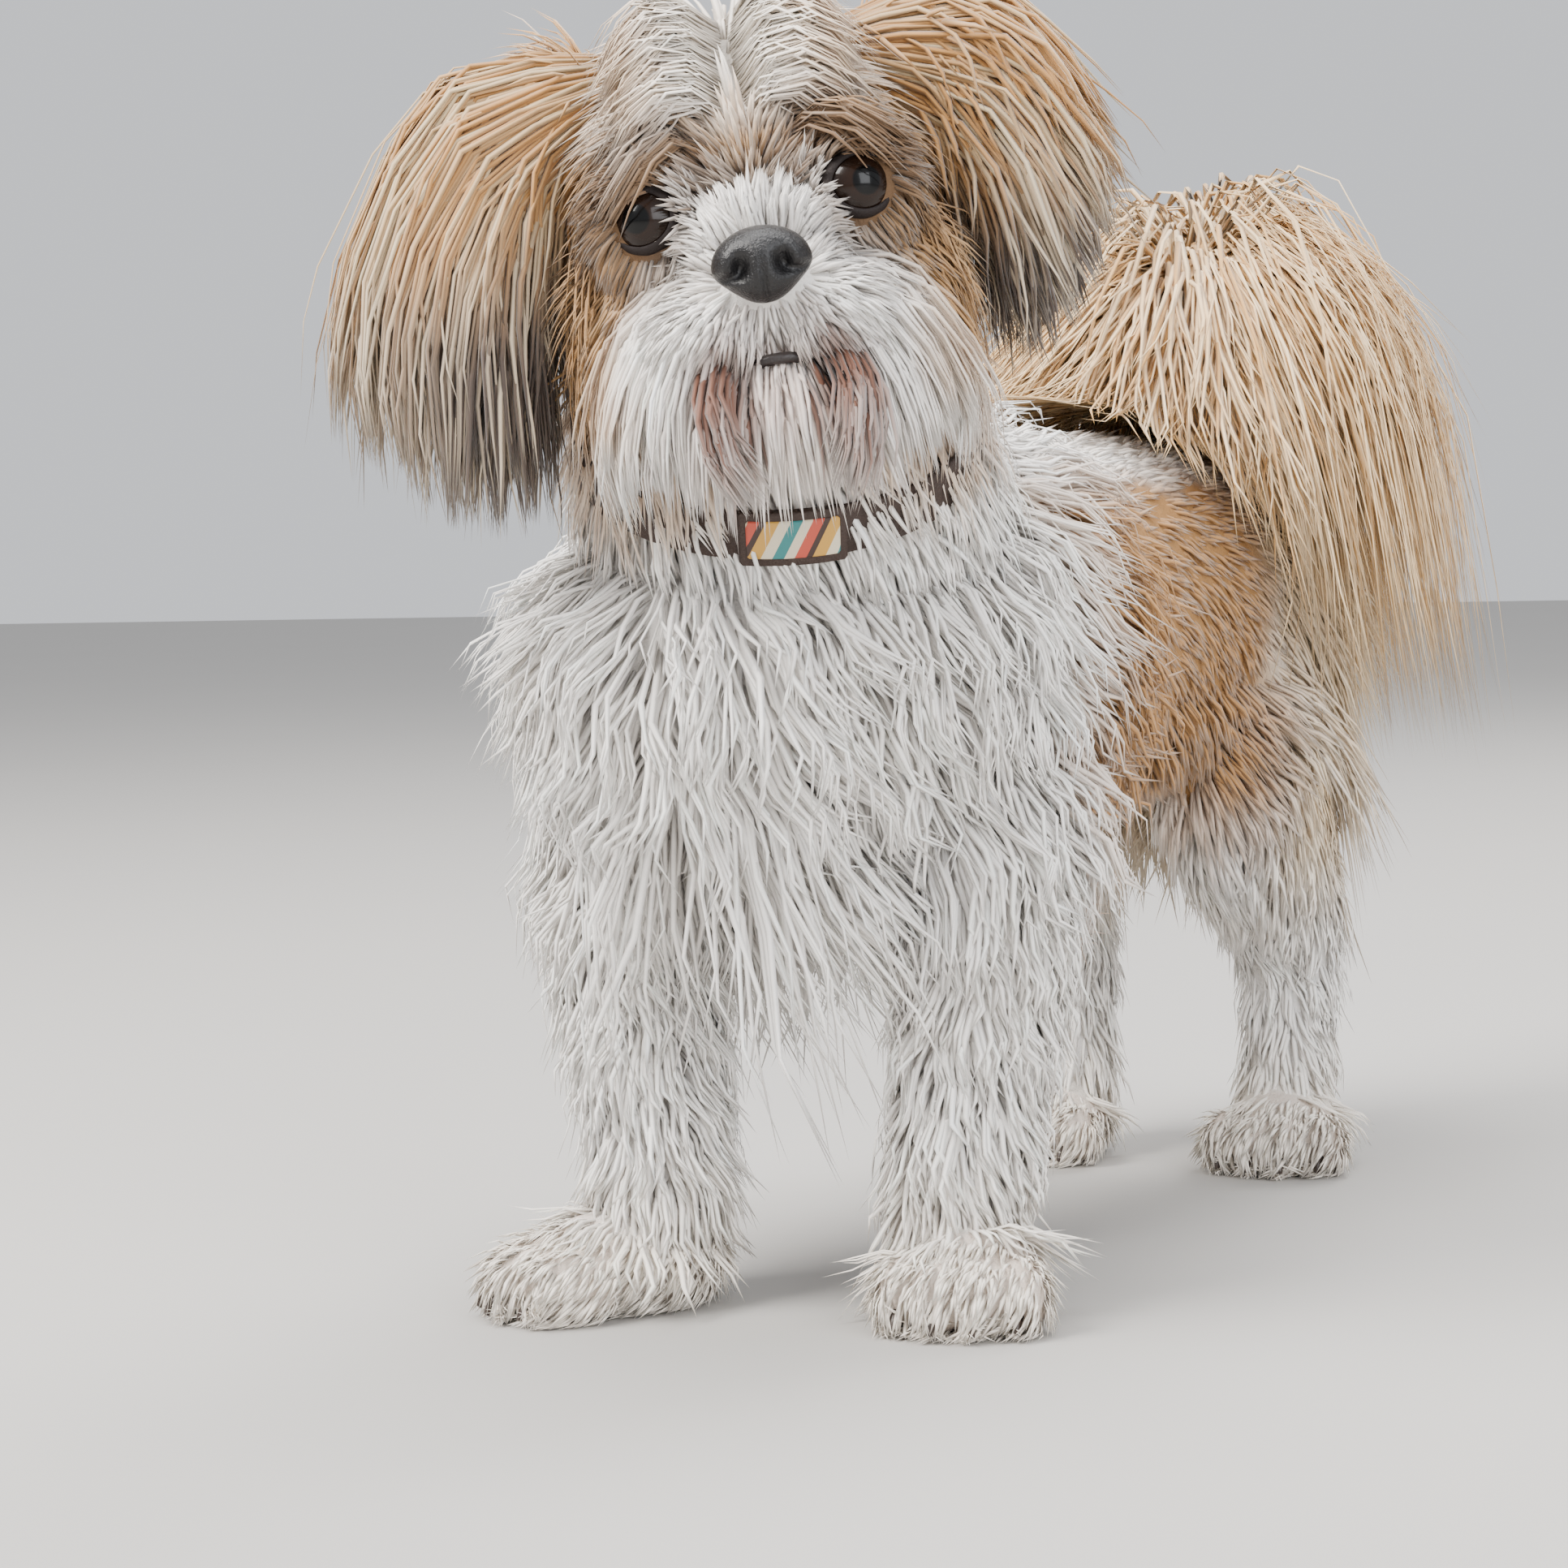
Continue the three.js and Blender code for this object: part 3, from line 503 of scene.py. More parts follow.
def head_marks(q):
    """Shares of white, dark, rust and pink over the head, from head points; the rest is gold.

    White is a blaze over the forehead, a fan on the bridge and a round muzzle. Dark, which is dark hair round
    the eyes and in part painted shade under the brows, fades out with the distance from the eyes, and rust
    with the distance from a ring round the mouth.
    """
    x, y, z = axes(q)
    x = np.abs(x)
    edge = ripple(q, 26, 5) * 5
    streak = ripple(q * [1, 1, 2.4], 15, 6) * 9
    blaze = smooth(*BLAZE_SIDE, x + streak) * smooth(*BLAZE_LOW, z + edge) * smooth(*BLAZE_BACK, y)
    fan = smooth(*FAN_SIDE, x + edge * 0.5) * smooth(*FAN_TOP, z + edge * 0.4) * smooth(*FAN_BACK, y)
    muzzle = smooth(*MUZZLE_EDGE, np.hypot(x * 0.88, (z + 60) * 0.70) + edge) * smooth(*MUZZLE_BACK, y)
    eye = np.hypot((x - 27) * 0.9, (z + 9) * 1.1) + np.maximum(y + 34, 0) * 0.5
    dark = smooth(*EYE_DARK_AND_SHADE_EDGE, eye + edge) * (1 - 0.85 * fan)
    ring = np.abs(np.hypot(x, (z + 60) * 0.8) - STAIN_RING)
    mouth = ring + np.maximum(z + 48, 0) * 1.2 + np.maximum(y + 24, 0)
    rust = smooth(*STAIN_EDGE, mouth + edge * 0.5)
    pink = smooth(*CHIN_EDGE, np.hypot(x, z + 66)) * smooth(*CHIN_BACK, y)
    return np.clip(blaze + fan + muzzle, 0, 1), dark, rust, pink


# Shares of the gold's red, green and blue on the flank, and the pink of the chin.
FLANK_TINT = np.array([0.94, 0.98, 1.15])
CHIN_PINK = np.array([0.66, 0.45, 0.36])
HEAD_MIDDLE = np.array([0, -8, -8])


def markings(points):
    """Coat colour at points of the dog's frame."""
    q = to_head(points)
    white, cream, gold = colour("white"), colour("cream"), colour("gold")
    _, y, z = axes(points)
    body = mix(white, cream, 0.10 + 0.08 * ripple(points, 60, 9)[..., None])
    body = mix(body, gold * FLANK_TINT, flank_gold(points)[..., None])
    thigh = smooth(66, 110, y + ripple(points, 40, 4) * 12) * smooth(85, 135, z)
    body = mix(body, mix(cream, gold, 0.16), thigh[..., None] * 0.9)
    body = mix(body, mix(white, cream, 0.34), smooth(42, 20, z)[..., None] * 0.85)
    on_head = smooth(94, 82, np.linalg.norm(q - HEAD_MIDDLE, axis=-1))
    on_head = on_head * smooth(-82, -64, q[..., 2] + 0.35 * np.maximum(q[..., 1], 0))
    white_share, eye_dark_and_shade_share, rust_share, pink_share = (share[..., None] for share in head_marks(q))
    pale = mix(white, cream, 0.1 + 0.2 * smooth(0, 20, q[..., 2])[..., None])
    face = mix(mix(gold * 0.95, cream, 0.14 + 0.2 * ripple(points, 22, 12)[..., None]), pale, white_share)
    face = mix(face, CHIN_PINK, pink_share * 0.6)
    face = mix(face, colour("rust"), rust_share * 0.85)
    # Dark hair round the eyes, and in part painted shade under the brows.
    face = mix(face, mix(colour("dark"), gold, 0.22), eye_dark_and_shade_share * 0.95)
    return mix(body, face, on_head[..., None])


# Body regions, each as a bone (two ends) and a reach, used to name the part of the skin a point is on.
REGIONS = {
    "head": ([31, -197, 340], [31, -190, 320], 62),
    "muzzle": (from_head([0, -40, -34]), from_head([0, -42, -66]), 30),
    "ear_left": (from_head([58, 6, 26]), from_head([78, 3, -30]), 20),
    "ear_right": (from_head([-58, 6, 26]), from_head([-78, 3, -30]), 20),
    "neck": ([8, -140, 240], [20, -172, 285], 60),
    "chest": ([0, -150, 190], [0, -95, 196], 84),
    "flank": ([0, -40, 199], [0, 50, 199], 74),
    "rump": ([0, 90, 199], [0, 150, 199], 66),
    "tail": ([0, 150, 262], [24, 100, 304], 16),
    "foreleg_left": ([55, -114, 128], [49, -125, 36], 28),
    "foreleg_right": ([-55, -128, 128], [-43, -146, 36], 28),
    "hindleg_left": ([40, 104, 140], [39, 144, 36], 30),
    "hindleg_right": ([-42, 102, 140], [-44, 136, 36], 30),
    "paw_left": ([53, -118, 12], [62, -142, 10], 22),
    "paw_right": ([-31, -138, 12], [-68, -176, 10], 22),
    "hind_paw_left": ([39, 150, 12], [43, 120, 10], 22),
    "hind_paw_right": ([-44, 142, 12], [-46, 114, 10], 22),
}
NAMES = list(REGIONS)


def region_of(points):
    """Index of the nearest region: distance from its bone over its reach."""
    best = []
    for start, end, reach in REGIONS.values():
        start, end = np.asarray(start, float), np.asarray(end, float)
        bone = end - start
        share = np.clip((points - start) @ bone / (bone @ bone), 0, 1)[:, None]
        best.append(np.linalg.norm(points - start - share * bone, axis=1) / reach)
    return np.argmin(np.stack(best), axis=0)


def lie_of(points, normals, region):
    """Direction that the coat lies in: back along the trunk, down the chest and legs, and outwards
    from the middle line of the head, made tangent to the skin."""
    x, y, z = axes(points)
    side = np.sign(x)
    steep = np.clip((BACK_TOP - 12 - z) / 60, 0, 1)
    behind, rear = smooth(-150, -70, y), smooth(70, 150, y)
    ways = {
        "chest": rows(0.35 * side * (1 - behind), 0.1 + 0.8 * behind, -1 + 0.35 * behind),
        "neck": rows(0.1 * side, 0.35, -1.0),
        "rump": rows(0.15 * side, 0.75 - 0.55 * rear, -0.4 * steep - 0.9 * rear),
        "leg": rows(0.06 * side, 0.12, -1.0),
        "paw": rows(0.1 * side, -0.9, -0.55),
    }
    named = np.array(NAMES)[region]
    way = rows(0.05 * side * steep, 1 - 0.25 * steep, -0.75 * steep)
    for word, here in ways.items():
        on = np.char.find(named, word) >= 0
        way[on] = here[on]
    on_head = np.isin(named, ["head", "muzzle"])
    way[on_head] = head_lie(to_head(points[on_head])) @ HEAD.T
    even = on_head | (np.char.find(named, "paw") >= 0)
    turned = wander(points, 34, 21) + wander(points, 80, 31)
    way = unit(way) + turned * np.where(even, 0.12, 0.32)[:, None]
    return unit(way - normals * np.sum(way * normals, axis=1, keepdims=True))


def head_lie(q):
    """Lie of the head's coat in its own frame: outwards and down from a middle parting, fanned up the
    bridge of the nose, outwards under the eyes and down the cheeks and chin."""
    x, y, z = axes(q)
    off = np.abs(x)
    side = np.sign(x) * smooth(0, 5, off)
    crown = rows(side, 0.35, 0.1 - 0.6 * smooth(14, 40, off))
    brow = rows(side, -0.25, 0.25 - 1.1 * smooth(10, 34, off))
    bridge = rows(x / 11, 0.0, 1.0 - 0.5 * smooth(8, 18, off))
    cheek = rows(side * 0.55, 0.35, -0.9)
    under_nose = rows(x / 16, -0.1, -1.0)
    on_brow = smooth(-6, -28, y) * smooth(-10, 2, z) * smooth(48, 26, z)
    on_bridge = smooth(22, 14, off) * smooth(-38, -30, z) * smooth(10, 2, z) * smooth(-30, -38, y)
    on_lip = smooth(-36, -42, z) * smooth(-30, -42, y) * smooth(24, 14, off)
    way = mix(crown, brow, on_brow[:, None])
    way = mix(way, cheek, smooth(-6, -16, z)[:, None])
    way = mix(way, bridge, on_bridge[:, None])
    return mix(way, under_nose, on_lip[:, None])


def strand_mesh(name, path, wide, face, colours, root_uv):
    """Closed three-sided blades from centre lines.

    path is strands by rings by three, the last ring being the tip. Each ring but the tip has a point
    on either side of the line and one raised outwards, scaled by a width that swells then narrows.
    Every blade has a patch of its own on the map OFBake, at its root's place on the skin's unwrap.
    """
    count, rings, _ = path.shape
    s = np.linspace(0, 1, rings)[:-1]
    swell = (0.72 + 0.5 * np.sqrt(s)) * (1 - s**2.2)
    tangent = unit(np.gradient(path, axis=1))[:, :-1]
    side = unit(np.cross(tangent, face[:, None, :]))
    out = unit(np.cross(side, tangent))
    across = side * (wide[:, None, None] * swell[None, :, None])
    raised = out * ((wide * BLADE_THICK)[:, None, None] * swell[None, :, None])
    line = path[:, :-1]
    ring = np.stack([line + across - raised * 0.4, line + raised, line - across - raised * 0.4], 2)
    points = np.concatenate([ring.reshape(count, (rings - 1) * 3, 3), path[:, -1:]], 1)
    each = points.shape[1]
    last = 3 * (rings - 2)
    tip = [(last + k, last + (k + 1) % 3, each - 1) for k in range(3)]
    faces = oriented(points[0], np.vstack([[(0, 2, 1)], ring_faces(rings - 1, 3), tip]))
    every = (faces[None] + (np.arange(count) * each)[:, None, None]).reshape(-1, 3)
    thing = mesh_object(name, points.reshape(-1, 3), every)
    patch_x = np.concatenate([np.tile([-0.5, 0, 0.5], rings - 1), [0]])
    patch_y = np.concatenate([np.repeat(s, 3), [1]]) - 0.5
    uv = root_uv[:, None, :] + rows(patch_x, patch_y)[None] * MAP_PATCH
    set_map(thing, "OFBake", uv.reshape(-1, 2), every)
    shades = np.concatenate([np.repeat(colours[:, :-1], 3, axis=1), colours[:, -1:]], 1)
    coloured(thing, shades.reshape(-1, 3))
    return thing


def clump_pull(roots, size, seed):
    """For each root, the vector to the middle of its clump, and a number shared by the clump.

    Clumps are the cells of a grid bent by smooth noise, so that they have no straight rows.
    """
    bent = roots + wander(roots, size * 3.1, seed) * size * 0.8
    cell = np.floor(bent / size).astype(np.int64)
    key = cell @ np.array([73856093, 19349663, 83492791])
    _, group = np.unique(key, return_inverse=True)
    total = np.bincount(group)
    middle = rows(*(np.bincount(group, column) / total for column in roots.T))
    rng = np.random.default_rng(seed)
    return middle[group] - roots, rng.random(len(total))[group]


def strand_paths(root, normal, lie, long, rings, rng, seed, lift, droop, clump, pull, wave=0.0, pitch=20):
    """Centre lines: from under the skin up and along the lie, falling with the square of the way along,
    waved from side to side, and drawn together towards the middle of each clump."""
    s = np.linspace(0, 1, rings)[None, :, None]
    long = long[:, None, None]
    to_middle, same = clump_pull(root, clump, seed)
    lie = unit(lie + rng.normal(0, 0.09, lie.shape))
    side = unit(np.cross(lie, normal))[:, None, :]
    rise = 1 - (1 - s) ** 2
    line = root[:, None, :] - normal[:, None, :] * ROOT_DEPTH
    line = line + lie[:, None, :] * long * s + normal[:, None, :] * long * lift * rise * 0.8
    line[..., 2] -= (long * droop * s**2)[..., 0]
    angle = FULL_TURN * (long / pitch) * s + (same * FULL_TURN)[:, None, None]
    line = line + side * wave * long * np.sqrt(s) * s * np.sin(angle)
    line = line + normal[:, None, :] * 0.6 * wave * long * s * np.cos(angle)
    return line + to_middle[:, None, :] * pull * s**1.4


def shaded(base, rng, same, rings, root_painted_shade=0.86, tip_painted_light=1.04, vary=0.10):
    """Colour for each ring: darker in the coat's depth as painted shade, lighter at the tip as painted light,
    varied by strand and clump.
    """
    s = np.linspace(0, 1, rings)[None, :, None]
    tone = 1 + vary * (rng.random((len(base), 1, 1)) - 0.5) + vary * (same[:, None, None] - 0.5)
    along_it = root_painted_shade + (tip_painted_light - root_painted_shade) * np.minimum(1, s * 1.7)
    return np.clip(base[:, None, :] * tone * along_it, 0.002, 0.95)


def skin_sample(names, count, rng, keep=None):
    """Random places on the skin in the named regions: roots, normals, map places and regions."""
    inside = np.isin(SKIN["region"], [NAMES.index(n) for n in names])
    weight = SKIN["area"] * inside
    if keep is not None:
        weight = weight * keep(SKIN["centre"])
    pick = rng.choice(len(weight), count, p=weight / weight.sum())
    r1, r2 = np.sqrt(rng.random(count)), rng.random(count)
    share = rows(1 - r1, r1 * (1 - r2), r1 * r2)[:, :, None]
    root = np.sum(SKIN["corner"][pick] * share, 1)
    normal = unit(np.sum(SKIN["normal"][pick] * share, 1))
    uv = np.sum(SKIN["uv"][pick] * share, 1)
    return root, normal, uv, SKIN["region"][pick]


def skin_uv(points):
    """Map place of the skin nearest to each point."""
    places = np.zeros((len(points), 2))
    for i, p in enumerate(placed(points)):
        _, _, face, _ = SKIN["tree"].find_nearest(Vector(p))
        places[i] = SKIN["uv"][face].mean(0)
    return places


def number(count):
    share = 1
    return max(FEWEST_TUFTS, int(count * bpy.context.scene.dog_sizes.fill * share))


def clear_of_eyes(points):
    """False where hair would start on an eye or the nose."""
    q = to_head(points)
    x, y, z = axes(q)
    eye = np.linalg.norm(rows(np.abs(x), y, z) - EYE_AT, axis=1)
    nose = np.linalg.norm((q - NOSE_AT) / NOSE_HALF, axis=1)
    return (eye > EYE_RADIUS + 0.4) & (nose > 1.0)


def short_face(points):
    """True over the short coat round the nose, mouth and eyes."""
    x, y, z = axes(to_head(points))
    return clear_of_eyes(points) & (np.abs(x) < 38) & (y < -26) & (z > -60) & (z < 8)


def fringe_place(points):
    """True low on the front of the chest, between the forelegs."""
    x, y, z = axes(points)
    return (np.abs(x) < 30) & (y < -104) & (z > 122) & (z < 172)


def fold_place(points):
    """True over the fold between the flank and the thigh."""
    x, y, z = axes(points)
    return (np.abs(x) > 24) & (y > 10) & (y < 100) & (z > 96) & (z < 176)


def face_scale(root):
    """Share of full length: shortest on the bridge, round the eyes and over the mouth."""
    x, y, z = axes(to_head(root))
    x = np.abs(x)
    near_eye = 0.5 + 0.5 * smooth(11, 26, np.hypot(x - 27, z + 14))
    below = mix(near_eye, 1.0, smooth(0, 8, z))
    bridge = 0.75 + 0.25 * smooth(12, 22, x)
    return mix(1.0, np.minimum(below, mix(bridge, 1.0, smooth(6, 14, z))), smooth(-20, -36, y))


# Coat pieces grown straight from the skin, in millimetres: on which regions, how many tufts, between
# which lengths, how wide and from how many rings. The lift is the share of the length that a tuft
# stands off the skin and the droop the share that it falls. Waves have a height, as a share, and a
# pitch, and clumps a size and the share that they are pulled together.
COATS = {
    "coat_chest": dict(
        on=["chest"], count=6600, long=(24, 40), wide=1.1, rings=5,
        lie=dict(lift=0.42, droop=0.16, wave=0.15, pitch=30, clump=16, pull=0.8),
    ),
    "coat_neck": dict(
        on=["neck"], count=4600, long=(20, 30), wide=1.05, rings=4,
        lie=dict(lift=0.5, droop=0.16, wave=0.06, pitch=26, clump=13, pull=0.75),
    ),
    "coat_back": dict(
        on=["flank"], count=6500, long=(12, 17), wide=1.05, rings=3, slot="gold_coat",
        lie=dict(lift=0.2, droop=0.04, clump=8, pull=0.5),
    ),
    "coat_rump": dict(
        on=["rump", "tail"], count=5600, long=(36, 64), wide=1.1, rings=4, slot="gold_coat",
        lie=dict(lift=0.18, droop=0.36, wave=0.02, pitch=34, clump=14, pull=0.7),
    ),
    "coat_forelegs": dict(
        on=["foreleg_left", "foreleg_right"], count=6400, long=(16, 28), wide=1.05, rings=4,
        lie=dict(lift=0.44, droop=0.05, wave=0.12, pitch=24, clump=11, pull=0.75),
    ),
    "coat_hindlegs": dict(
        on=["hindleg_left", "hindleg_right"], count=5000, long=(13, 22), wide=1.0, rings=4,
        lie=dict(lift=0.32, droop=0.05, wave=0.08, pitch=24, clump=11, pull=0.75),
    ),
    "coat_paws": dict(
        on=["paw_left", "paw_right", "hind_paw_left", "hind_paw_right"], count=6600, long=(8, 13), wide=0.8,
        rings=3, lie=dict(lift=0.4, droop=0.12, clump=6, pull=0.55),
    ),
    "coat_crown": dict(
        on=["head"], count=6200, long=(17, 30), wide=0.9, rings=4, scale=face_scale, slot="gold_coat",
        lie=dict(lift=0.38, droop=0.12, clump=10, pull=0.65),
    ),
    "coat_face": dict(
        on=["head", "muzzle"], count=6400, long=(8, 13), wide=0.72, rings=3, keep=short_face,
        lie=dict(lift=0.62, droop=0.05, clump=5, pull=0.45),
    ),
    "coat_muzzle": dict(
        on=["muzzle"], count=5200, long=(10, 17), wide=0.7, rings=3, scale=face_scale,
        lie=dict(lift=0.36, droop=0.06, clump=5, pull=0.5),
    ),
    "coat_fringe": dict(
        on=["chest", "foreleg_left", "foreleg_right"], count=900, long=(44, 78), wide=1.1, rings=5,
        keep=fringe_place, lie=dict(lift=0.22, droop=0.62, wave=0.1, pitch=28, clump=15, pull=0.85),
    ),
    "coat_fold": dict(
        on=["flank", "rump", "hindleg_left", "hindleg_right"], count=2600, long=(14, 22), wide=1.0, rings=3,
        keep=fold_place, slot="gold_coat", lie=dict(lift=0.62, droop=0.1, clump=8, pull=0.5),
    ),
}


def node(tree, kind, inputs=None, **settings):
    """A new shader node with its settings and the values of its inputs."""
    made = tree.nodes.new("ShaderNode" + kind)
    for name, value in settings.items():
        setattr(made, name, value)
    for socket, value in (inputs or {}).items():
        made.inputs[socket].default_value = value
    return made


def wire(tree, *links):
    """Joins nodes, each link as (node, output, node, input)."""
    for giver, output, taker, socket in links:
        tree.links.new(giver.outputs[output], taker.inputs[socket])


def ramp_node(tree, stops, blend="LINEAR"):
    """A colour ramp with a stop for each place and colour."""
    made = node(tree, "ValToRGB")
    made.color_ramp.interpolation = blend
    line = made.color_ramp.elements
    for stop, (at, shade) in zip(line, (stops[0], stops[-1])):
        stop.position, stop.color = at, (*shade, 1)
    for at, shade in stops[1:-1]:
        line.new(at).color = (*shade, 1)
    return made


def node_group(name, inputs, outputs):
    """An empty shader group with the sockets named, as (tree, input node, output node)."""
    tree = bpy.data.node_groups.new(name, "ShaderNodeTree")
    for label, kind, value in inputs:
        socket = tree.interface.new_socket(name=label, in_out="INPUT", socket_type="NodeSocket" + kind)
        if value is not None:
            socket.default_value = value
    for label, kind in outputs:
        tree.interface.new_socket(name=label, in_out="OUTPUT", socket_type="NodeSocket" + kind)
    return tree, tree.nodes.new("NodeGroupInput"), tree.nodes.new("NodeGroupOutput")


def mottle_group():
    """Colour varied by soft noise at the piece's own place."""
    found = bpy.data.node_groups.get("Mottle")
    if found:
        return found
    sockets = [("Color", "Color", None), ("Scale", "Float", 60.0), ("Amount", "Float", 0.2)]
    tree, given, out = node_group("Mottle", sockets, [("Color", "Color")])
    place = node(tree, "TexCoord")
    noise = node(tree, "TexNoise", {"Detail": 4.0})
    centred = node(tree, "Math", {1: 0.5}, operation="SUBTRACT")
    scaled = node(tree, "Math", {2: 1.0}, operation="MULTIPLY_ADD")
    times = node(tree, "VectorMath", operation="SCALE")
    wire(
        tree, (place, "Object", noise, "Vector"), (given, "Scale", noise, "Scale"),
        (noise, "Fac", centred, 0), (centred, 0, scaled, 0), (given, "Amount", scaled, 1),
        (given, "Color", times, 0), (scaled, 0, times, "Scale"), (times, 0, out, "Color"),
    )
    return tree


def grain_group():
    """Height of a fine noise at the piece's own place, for a bump."""
    found = bpy.data.node_groups.get("Grain")
    if found:
        return found
    sockets = [("Scale", "Float", 400.0), ("Detail", "Float", 3.0)]
    tree, given, out = node_group("Grain", sockets, [("Height", "Float")])
    place, noise = node(tree, "TexCoord"), node(tree, "TexNoise")
    wire(
        tree, (place, "Object", noise, "Vector"), (given, "Scale", noise, "Scale"),
        (given, "Detail", noise, "Detail"), (noise, "Fac", out, "Height"),
    )
    return tree


def principled(name, **sockets):
    """A new material with constant values on its shader, as (material, tree, shader)."""
    made = bpy.data.materials.new(name)
    made.use_nodes = True
    shader = made.node_tree.nodes["Principled BSDF"]
    for socket, value in sockets.items():
        shader.inputs[socket.replace("_", " ")].default_value = value
    return made, made.node_tree, shader


def new_material(name, shade=None, attribute=None, mottle=(60.0, 0.2), grain=None, **sockets):
    """A Principled material. Its base is a constant shade or the attribute named, both through Mottle,
    and grain gives a bump's scale, strength and distance in metres."""
    made, tree, shader = principled(name, **sockets)
    varied = node(tree, "Group", {"Scale": mottle[0], "Amount": mottle[1]}, node_tree=mottle_group())
    if attribute:
        wire(tree, (node(tree, "Attribute", attribute_name=attribute), "Color", varied, "Color"))
    else:
        varied.inputs["Color"].default_value = (*shade, 1.0)
    wire(tree, (varied, "Color", shader, "Base Color"))
    if grain:
        scale, strength, distance = grain
        height = node(tree, "Group", {"Scale": scale}, node_tree=grain_group())
        bump = node(tree, "Bump", {"Strength": strength, "Distance": distance})
        wire(tree, (height, "Height", bump, "Height"), (bump, "Normal", shader, "Normal"))
    return made


def coat_material():
    found = bpy.data.materials.get("Coat hair")
    if found:
        return found
    return new_material(
        "Coat hair", attribute="Coat", mottle=(220.0, 0.22), Roughness=0.62, Sheen_Weight=0.25,
        Sheen_Roughness=0.5, Specular_IOR_Level=0.32,
    )


FLESH = [
    "head", "lower_jaw", "muzzle", "ear_left", "ear_right", "flank", "rump", "chest", "neck", "tail_root",
    "tail_plume", "forepaw_left", "forepaw_right", "hindpaw_left", "hindpaw_right", "foreleg_left",
    "foreleg_right", "hindleg_left", "hindleg_right",
]


def flesh_grids():
    """Closed grids of every form under the coat, each thinned by its coat's depth."""
    yield TRUNK.grid(60, 64, trunk_depth)
    yield NECK.grid(16, 48, -10)
    for leg in LEGS.values():
        yield leg.grid(30, 32, lambda t: -8 + 0 * t)
    for paw in PAWS.values():
        for form in paw_forms(*paw):
            yield form.grid(16, 24)
    for form, grow in HEAD_FORMS:
        yield form.grid(32, 48, grow)
    for sign in (1, -1):
        yield ear_leaf(sign).grid(20, 24, -1)
    yield TAIL.grid(24, 20, -3)


class DOG_OT_skin(bpy.types.Operator):
    """Makes one closed skin from all the forms of flesh and notes it for the coat"""

    bl_idname = "dog.skin"
    bl_label = "Skin"

    def execute(self, context):
        rough = mesh_object("rough", *joined([capped(grid) for grid in flesh_grids()]))
        remesh = rough.modifiers.new("Join", "REMESH")
        remesh.mode = "VOXEL"
        remesh.voxel_size = context.scene.dog_sizes.skin_step
        soften = rough.modifiers.new("Soften", "SMOOTH")
        soften.factor, soften.iterations = 0.5, 7
        context.view_layer.update()
        mesh = bpy.data.meshes.new_from_object(rough.evaluated_get(context.evaluated_depsgraph_get()))
        bpy.data.objects.remove(rough, do_unlink=True)
        mesh.name = "skin"
        place = read(mesh.vertices, "co", 3)
        place[:, 2] = np.maximum(place[:, 2], 0.0)
        mesh.vertices.foreach_set("co", place.ravel())
        skin = bpy.data.objects.new("skin", mesh)
        context.scene.collection.objects.link(skin)
        self.unwrap(context, skin)
        if len(mesh.polygons) < 5000:
            raise RuntimeError("The skin has too few faces")
        self.note(mesh)
        on_paw = np.char.find(np.array(NAMES)[region_of(SKIN["points"])], "paw") >= 0
        # The skin takes the coat's colours darkened to 0.8 as painted shade in the depth of the coat.
        shade = markings(SKIN["points"]) * 0.8
        shade[on_paw] = mix(shade[on_paw], colour("skin"), 0.35)
        coloured(skin, shade)
        material = new_material(
            "Skin under coat", attribute="Coat", mottle=(140.0, 0.25), grain=(900.0, 0.6, 0.0012),
            Roughness=0.8, Specular_IOR_Level=0.25,
        )
        finished(skin, material, "white_coat", *FLESH)
        return {"FINISHED"}

    def unwrap(self, context, skin):
        """Triangles and the map OFBake, from the skin's own shape."""
        for layer in list(skin.data.uv_layers):
            skin.data.uv_layers.remove(layer)
        skin.data.uv_layers.new(name="OFBake")
        context.view_layer.objects.active = skin
        bpy.ops.object.select_all(action="DESELECT")
        skin.select_set(True)
        bpy.ops.object.mode_set(mode="EDIT")
        bpy.ops.mesh.select_all(action="SELECT")
        bpy.ops.mesh.quads_convert_to_tris()
        bpy.ops.uv.smart_project(angle_limit=math.radians(72), island_margin=0.004)
        bpy.ops.object.mode_set(mode="OBJECT")
        skin.data.shade_smooth()

    def note(self, mesh):
        """Keeps the skin's triangles, normals, areas, map places and regions for drawing roots."""
        co = read(mesh.vertices, "co", 3).astype(float)
        index = read(mesh.polygons, "vertices", 3, np.int32)
        points = (co - ORIGIN) / MM
        corner = points[index]
        centre = corner.mean(1)
        sides = corner[:, 1:] - corner[:, :1]
        SKIN.update(
            points=points, corner=corner, centre=centre, region=region_of(centre),
            normal=read(mesh.vertex_normals, "vector", 3).astype(float)[index],
            uv=read(mesh.uv_layers["OFBake"].uv, "vector", 2).reshape(-1, 3, 2).astype(float),
            area=np.linalg.norm(np.cross(sides[:, 0], sides[:, 1]), axis=1),
            tree=BVHTree.FromPolygons(co.tolist(), index.tolist()),
        )


def off_slide(path):
    """True for strands that don't pass in front of the collar's slide."""
    local = (path - COLLAR_AT) @ COLLAR_LEAN
    angle = np.arctan2(local[..., 1], local[..., 0])
    over = (np.abs(angle - SLIDE_MIDDLE) < SLIDE_CLEAR) & (np.abs(local[..., 2]) < SLIDE_HALF_HIGH)
    return ~np.any(over & (np.hypot(local[..., 0], local[..., 1]) > COLLAR_RADIUS), axis=1)


def hair_piece(name, path, wide, face, colours, map_places, slot):
    """A finished piece of coat from its centre lines, half widths, outward sides and ring colours."""
    thing = strand_mesh(name, path, wide, face, np.clip(colours, DARKEST, LIGHTEST), map_places)
    return finished(thing, coat_material(), slot)


def gathered(path, s, size, seed, pull, power):
    """Strands drawn together towards the tips of their clumps, and each strand's number of its clump."""
    to_middle, group = clump_pull(path[:, -1], size, seed)
    return path + to_middle[:, None, :] * pull * (s**power)[..., None], group


